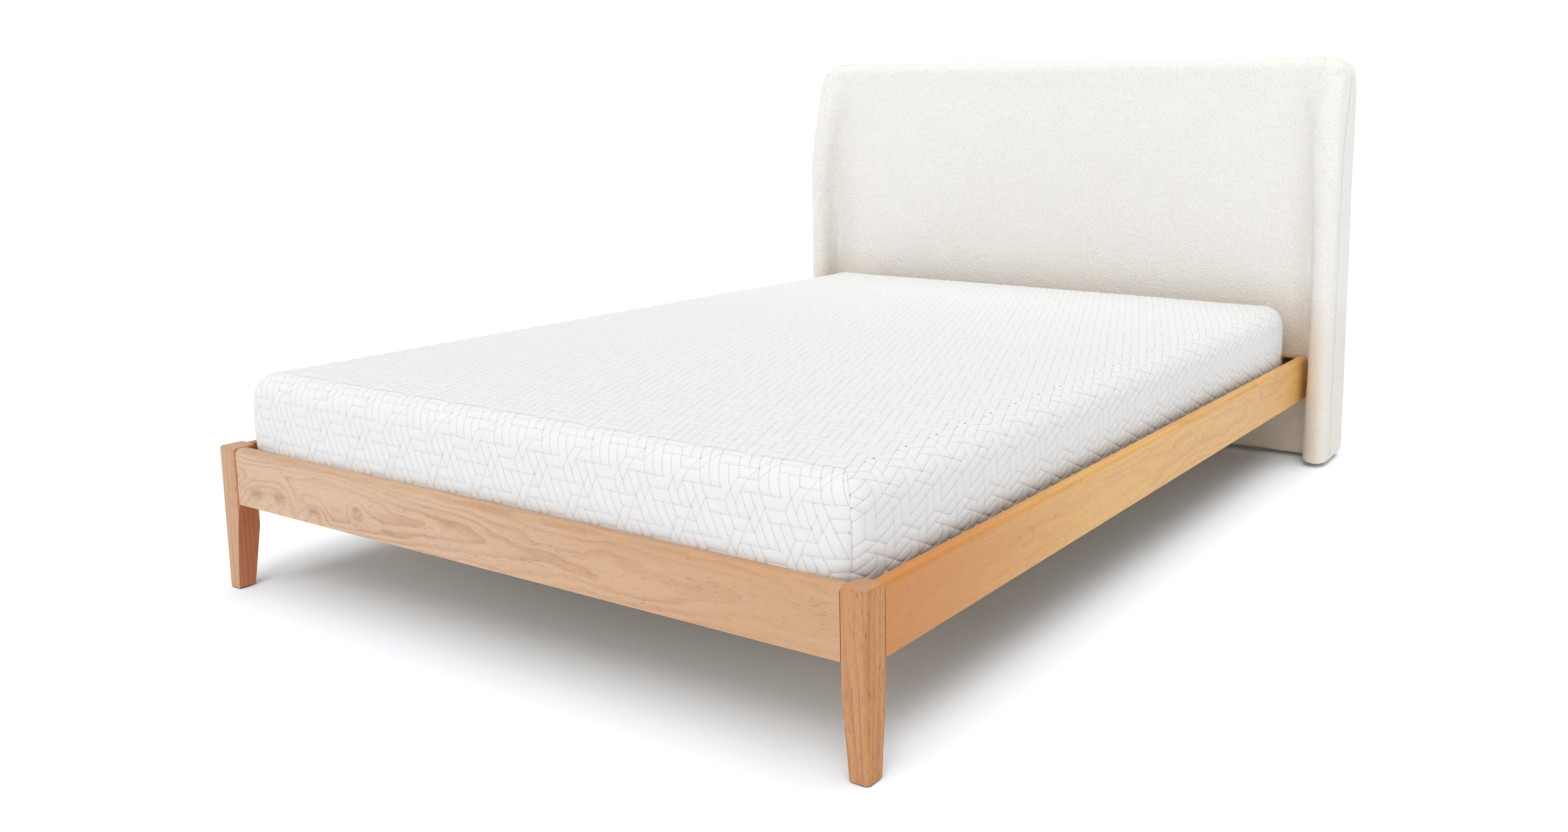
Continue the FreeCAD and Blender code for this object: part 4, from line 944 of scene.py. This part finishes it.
def quilt_relief(part):
    """How far each point of a part lies under the cover's face, and the distances from the
    sewn lines that its material reads. All are in millimetres."""
    crease, _ = line_distance(part["x"], part["row"], CREASES, *part["size"])
    stitch, along = line_distance(part["x"], part["row"], STITCHES, *part["size"])
    depth = CREASE_DEPTH * np.exp(-crease / CREASE_WIDTH)
    depth += STITCH_DEPTH * np.exp(-stitch / STITCH_WIDTH)
    long, down = part["long"], part["down"]
    if part["name"] == "top":
        from_ends = np.minimum(down - FLAT_FOOT, FLAT_HEAD - down)
        inside = np.minimum(FLAT_X - np.abs(long), from_ends)
        depth *= 1 - CALM_SHARE * np.clip(inside / CALM_REACH, 0, 1)
    else:
        seam = np.clip((down - 0.012) / 0.035, 0, 1)
        gap = seam_gap(part["name"], long, down)
        depth += CORNER_SEAM_DEPTH * seam * np.exp(-((gap / CORNER_SEAM_WIDTH) ** 2))
    fields = {"crease_mm": crease, "stitch_mm": stitch, "stitch_along_mm": along}
    return depth.reshape(-1), fields


def quilt_triangles(part):
    """Two triangles in each cell of a part's grid, cut along the nearer slanted line."""
    columns, rows = part["x"].shape
    a, d, c, b = grid_quads(columns, rows).T
    slanted = {1: [], -1: [], 0: []}
    for line in CREASES + STITCHES:
        (x0, row0), (x1, row1) = line
        slanted[np.sign((x1 - x0) * (row1 - row0))].append(line)
    middle = [(part[key][:-1, :-1] + part[key][1:, 1:]) / 2 for key in ("x", "row")]
    falling, _ = line_distance(*middle, slanted[1], *part["size"])
    rising, _ = line_distance(*middle, slanted[-1], *part["size"])
    with_falling = (falling <= rising).reshape(-1, 1)
    return np.concatenate([
        np.where(with_falling, np.stack([a, b, c], 1), np.stack([a, b, d], 1)),
        np.where(with_falling, np.stack([a, c, d], 1), np.stack([b, c, d], 1)),
    ])


def make_mattress(materials):
    parts = quilt_parts(6, 4)
    swell = mattress_swell()
    for part in parts:
        name = part["name"]
        depth, fields = quilt_relief(part)
        triangles = quilt_triangles(part)
        flat = part["points"].reshape(-1, 3)
        outward = grid_normals(part["points"])
        from_centre = flat - np.array([0, 0, (MAT_TOP + MAT_LOW.z) / 2])
        if (outward * from_centre).sum(axis=1).mean() < 0:
            outward = -outward
            triangles = triangles[:, ::-1]
        bulge = mattress_bulge(flat)
        if swell:
            bulge += between(*swell[name], part["long"], part["down"]).reshape(-1, 3)
        flat = flat + bulge - outward * depth[:, None] * MM
        welded, triangles, inverse = weld(flat, triangles)
        keep = np.zeros(len(welded), dtype=np.int64)
        keep[inverse] = np.arange(len(inverse))
        fields = {label: values.reshape(-1)[keep] for label, values in fields.items()}
        piece = new_piece("mattress_cover_" + name, welded, triangles, materials["ticking"],
                          "mattress", fields)
        if name == "top":
            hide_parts("mattress_cover", "mattress_comfort_foam", "mattress_base_foam")


def grid_normals(points):
    """Normals of a grid of points from its own rows and columns."""
    across = np.gradient(points, axis=0)
    down = np.gradient(points, axis=1)
    return unit(np.cross(across, down).reshape(-1, 3))


def mattress_bulge(flat):
    """Crown of the top and fullness of the sides."""
    middle = (MAT_LOW.y + MAT_HIGH.y) / 2
    half = (MAT_HIGH.y - MAT_LOW.y) / 2
    from_middle = flat[:, 1] - middle
    crown_x = np.clip(1 - (np.abs(flat[:, 0]) / MAT_HIGH.x) ** 4, 0, 1)
    crown_y = np.clip(1 - (np.abs(from_middle) / half) ** 6, 0, 1)
    up = np.clip((flat[:, 2] - MAT_LOW.z) / (MAT_TOP - MAT_LOW.z), 0, 1)
    moved = np.zeros_like(flat)
    moved[:, 2] = CROWN * crown_x * crown_y * up**3
    belly = BELLY * np.sin(math.pi * up) ** 1.5
    moved[:, 0] = belly * np.sign(flat[:, 0]) * (np.abs(flat[:, 0]) > FLAT_X)
    moved[:, 1] = belly * np.sign(from_middle) * (np.abs(from_middle) > half - ROLL)
    return moved


def make_mattress_base(materials):
    """Underside of the mattress: a plain cloth panel with rounded corners, sewn to the borders
    and drawn in a little along that seam."""
    columns, rows = 90, 120
    x = np.linspace(-FLAT_X - CORNER, FLAT_X + CORNER, columns)
    y = np.linspace(FLAT_FOOT - CORNER, FLAT_HEAD + CORNER, rows)
    x, y = np.meshgrid(x, y, indexing="ij")
    over_x = np.maximum(np.abs(x) - FLAT_X, 0)
    over_y = np.maximum(FLAT_FOOT - y, 0) + np.maximum(y - FLAT_HEAD, 0)
    spread = np.maximum(over_x, over_y) / np.maximum(np.hypot(over_x, over_y), 1e-6)
    spread = np.where((over_x > 0) & (over_y > 0), spread, 1.0)
    x = np.clip(x, -FLAT_X, FLAT_X) + np.sign(x) * over_x * spread
    y = np.clip(y, FLAT_FOOT, FLAT_HEAD) + np.sign(y) * over_y * spread
    edge = np.maximum(over_x, over_y) / CORNER
    z = MAT_LOW.z + 0.0015 * edge**2
    points = np.stack([x, y, z], axis=-1).reshape(-1, 3)
    faces = grid_quads(columns, rows)
    new_piece("mattress_cover_base", points, faces, materials["base"], "mattress")


# ---- CAD nodes that stay

def dress(names, material):
    for name in names:
        NODES[name].data.materials.clear()
        NODES[name].data.materials.append(material)


def dress_cad_nodes():
    # The rails' redder, darker ends near the bed's right foot corner are painted warm light.
    foot = wood_material(
        "rail_foot_wood", light=(0.66, 0.44, 0.285), dark=(0.46, 0.245, 0.13), along="X",
        pith=(-1.055, 0.235), ring=0.0085, slope=0.035, pores=0.42, streak=0.62, wander=0.045,
        knots=[((-0.70, -1.113, 0.214), 0.021), ((-0.62, -1.113, 0.224), 0.017),
               ((-0.51, -1.113, 0.213), 0.015), ((-0.37, -1.113, 0.226), 0.009),
               ((0.685, -1.113, 0.265), 0.005)],
        warm_light_tone=((-0.5, 0.8), 0.60, (0.56, 0.285, 0.12))
    )
    side = wood_material(
        "rail_side_wood", light=(0.77, 0.43, 0.122), dark=(0.56, 0.26, 0.062), along="Y",
        pith=(-0.745, 0.235), ring=0.011, slope=0.02, pores=0.40, streak=0.38, wander=0.06,
        warm_light_tone=((-0.3, -1.1), 0.90, (0.57, 0.20, 0.032))
    )
    # Both legs take painted shade on their faces towards +X.
    right_leg = wood_material(
        "leg_wood_right", light=(0.60, 0.29, 0.115), dark=(0.38, 0.145, 0.050), along="Z",
        pith=(-1.05, -0.735), ring=0.007, pores=0.75, streak=0.50, wander=0.02,
        end=(0.47, 0.26, 0.135), painted_side_shade=(1.0, 0.87, 0.55)
    )
    left_leg = wood_material(
        "leg_wood_left", light=(0.63, 0.365, 0.19), dark=(0.44, 0.20, 0.09), along="Z",
        pith=(-1.05, 0.735), ring=0.008, pores=0.60, streak=0.45, wander=0.02,
        end=(0.58, 0.36, 0.22), painted_side_shade=(0.92, 0.55, 0.40)
    )
    dress(["foot_rail", "head_rail"], foot)
    dress(["side_rail_left", "side_rail_right"], side)
    dress(["foot_leg_right"], right_leg)
    dress(["foot_leg_left"], left_leg)
    timber = {
        "slat_wood": ((0.74, 0.60, 0.42), (0.58, 0.42, 0.26), "X", (0.0, 0.05), 0.008),
        "ledger_wood": ((0.72, 0.57, 0.39), (0.55, 0.39, 0.24), "Y", (0.0, 0.1), 0.008),
        "upright_wood": ((0.72, 0.57, 0.39), (0.54, 0.38, 0.23), "Z", (0.3, 0.1), 0.007),
    }
    slat, lengthwise, upright = (wood_material(name, *values, pores=0.1, satin=0.6)
                                 for name, values in timber.items())
    dress([n for n in NODES if n.startswith("slat_") and n != "slat_screws"], slat)
    dress(["headboard_top_rail", "headboard_bottom_rail", "headboard_fixing_rail"], slat)
    dress(["ledger_left", "ledger_right", "centre_beam"], lengthwise)
    dress(["centre_leg_front", "centre_leg_rear", "headboard_post_left", "headboard_post_right"],
          upright)
    dress(["headboard_front_board", "headboard_back_board", "wing_core_left", "wing_core_right"],
          plywood_material())
    dress(["headboard_glides", "leg_glides", "levelling_pad_front", "levelling_pad_rear"],
          plastic_material())
    zinc = metal_material("zinc_steel", (0.62, 0.62, 0.60), (0.50, 0.50, 0.49), 0.36, 1.0)
    dress(["head_rail_bolts", "centre_leg_bolts", "ledger_screws", "slat_screws", "bracket_screws",
           "levelling_screw_front", "levelling_screw_rear", "headboard_insert_nuts",
           "levelling_nuts"], zinc)
    black = metal_material("black_steel", (0.030, 0.030, 0.031), (0.018, 0.018, 0.018), 0.45, 0.2)
    dress(["beam_hangers", "head_corner_brackets", "rail_hook_plates", "leg_slot_plates"], black)


# ---- studio

def make_floor():
    size = 30.0
    corners = np.array([[-size, -size, 0], [size, -size, 0], [size, size, 0], [-size, size, 0]])
    corners[:, 2] = CAD_LOW.z - 0.0004
    floor = new_piece("studio_floor", corners, np.array([[0, 1, 2, 3]]), floor_material())
    return floor


def add_sun(name, toward, strength, spread, only=None):
    """A distant soft light. strength is what it adds to a white surface that faces it. With
    only, a collection, it lights nothing else."""
    light = bpy.data.lights.new(name, "SUN")
    light.energy = strength * math.pi
    light.angle = math.radians(spread)
    lamp = new_object(name, light)
    lamp.rotation_euler = Vector(toward).to_track_quat("Z", "Y").to_euler()
    lamp.light_linking.receiver_collection = only


def make_lights(floor):
    """A white studio: a pale horizon, a dimmer band above it and a brighter ceiling, with one
    soft light overhead and one from the front."""
    world = bpy.data.worlds.new("studio")
    bpy.context.scene.world = world
    world.use_nodes = True
    nodes, links = world.node_tree.nodes, world.node_tree.links
    where = nodes.new("ShaderNodeTexCoord")
    split = nodes.new("ShaderNodeSeparateXYZ")
    links.new(where.outputs["Generated"], split.inputs[0])
    ramp = nodes.new("ShaderNodeValToRGB")
    links.new(split.outputs[2], ramp.inputs[0])
    stops = ((0.0, 1.0), (0.13, 1.0), (0.20, HAZE), (0.50, HAZE), (1.0, CEILING))
    while len(ramp.color_ramp.elements) < len(stops):
        ramp.color_ramp.elements.new(0.5)
    for element, (height, level) in zip(ramp.color_ramp.elements, stops):
        element.position = height
        element.color = rgb(level, level, level)
    links.new(ramp.outputs[0], nodes["Background"].inputs["Color"])
    nodes["Background"].inputs["Strength"].default_value = 1.03
    add_sun("overhead", (0.12, 0.10, 1.0), OVERHEAD, 55)
    add_sun("front", (0.02, -0.85, 0.70), FRONT, 50)
    group = bpy.data.collections.new("floor_only")
    group.objects.link(floor)
    add_sun("floor_wash", (0.45, -0.60, 1.0), FLOOR_WASH, 30, only=group)


def make_camera():
    """The photograph's viewpoint: near the foot's right-hand corner, a little above the bed."""
    yaw, pitch, roll = 0.5288, -0.1482, 0.0030
    level = Vector((math.cos(yaw), math.sin(yaw), 0))
    ahead = Vector((-math.sin(yaw), math.cos(yaw), 0))
    forward = ahead * math.cos(pitch) + Vector((0, 0, math.sin(pitch)))
    upward = level.cross(forward)
    right = level * math.cos(roll) + upward * math.sin(roll)
    up = upward * math.cos(roll) - level * math.sin(roll)
    data = bpy.data.cameras.new("photo_view")
    data.sensor_width = 36.0
    data.lens = 30.37
    data.shift_x = -0.1295
    data.shift_y = -0.0711
    data.clip_end = 100.0
    camera = new_object("photo_view", data)
    turn = Matrix((right, up, -forward)).transposed().to_4x4()
    camera.matrix_world = Matrix.Translation((1.8634, -2.5885, 0.9845)) @ turn
    bpy.context.scene.camera = camera


def main():
    bpy.context.scene.view_settings.view_transform = "Standard"
    materials = {
        "boucle": boucle_material(), "ticking": quilt_material(), "lining": lining_material(),
        "base": lining_material("ticking_base", (0.72, 0.72, 0.71), (0.60, 0.60, 0.59)),
    }
    make_camera()
    make_lights(make_floor())
    make_headboard(materials)
    make_mattress(materials)
    make_mattress_base(materials)
    dress_cad_nodes()


main()
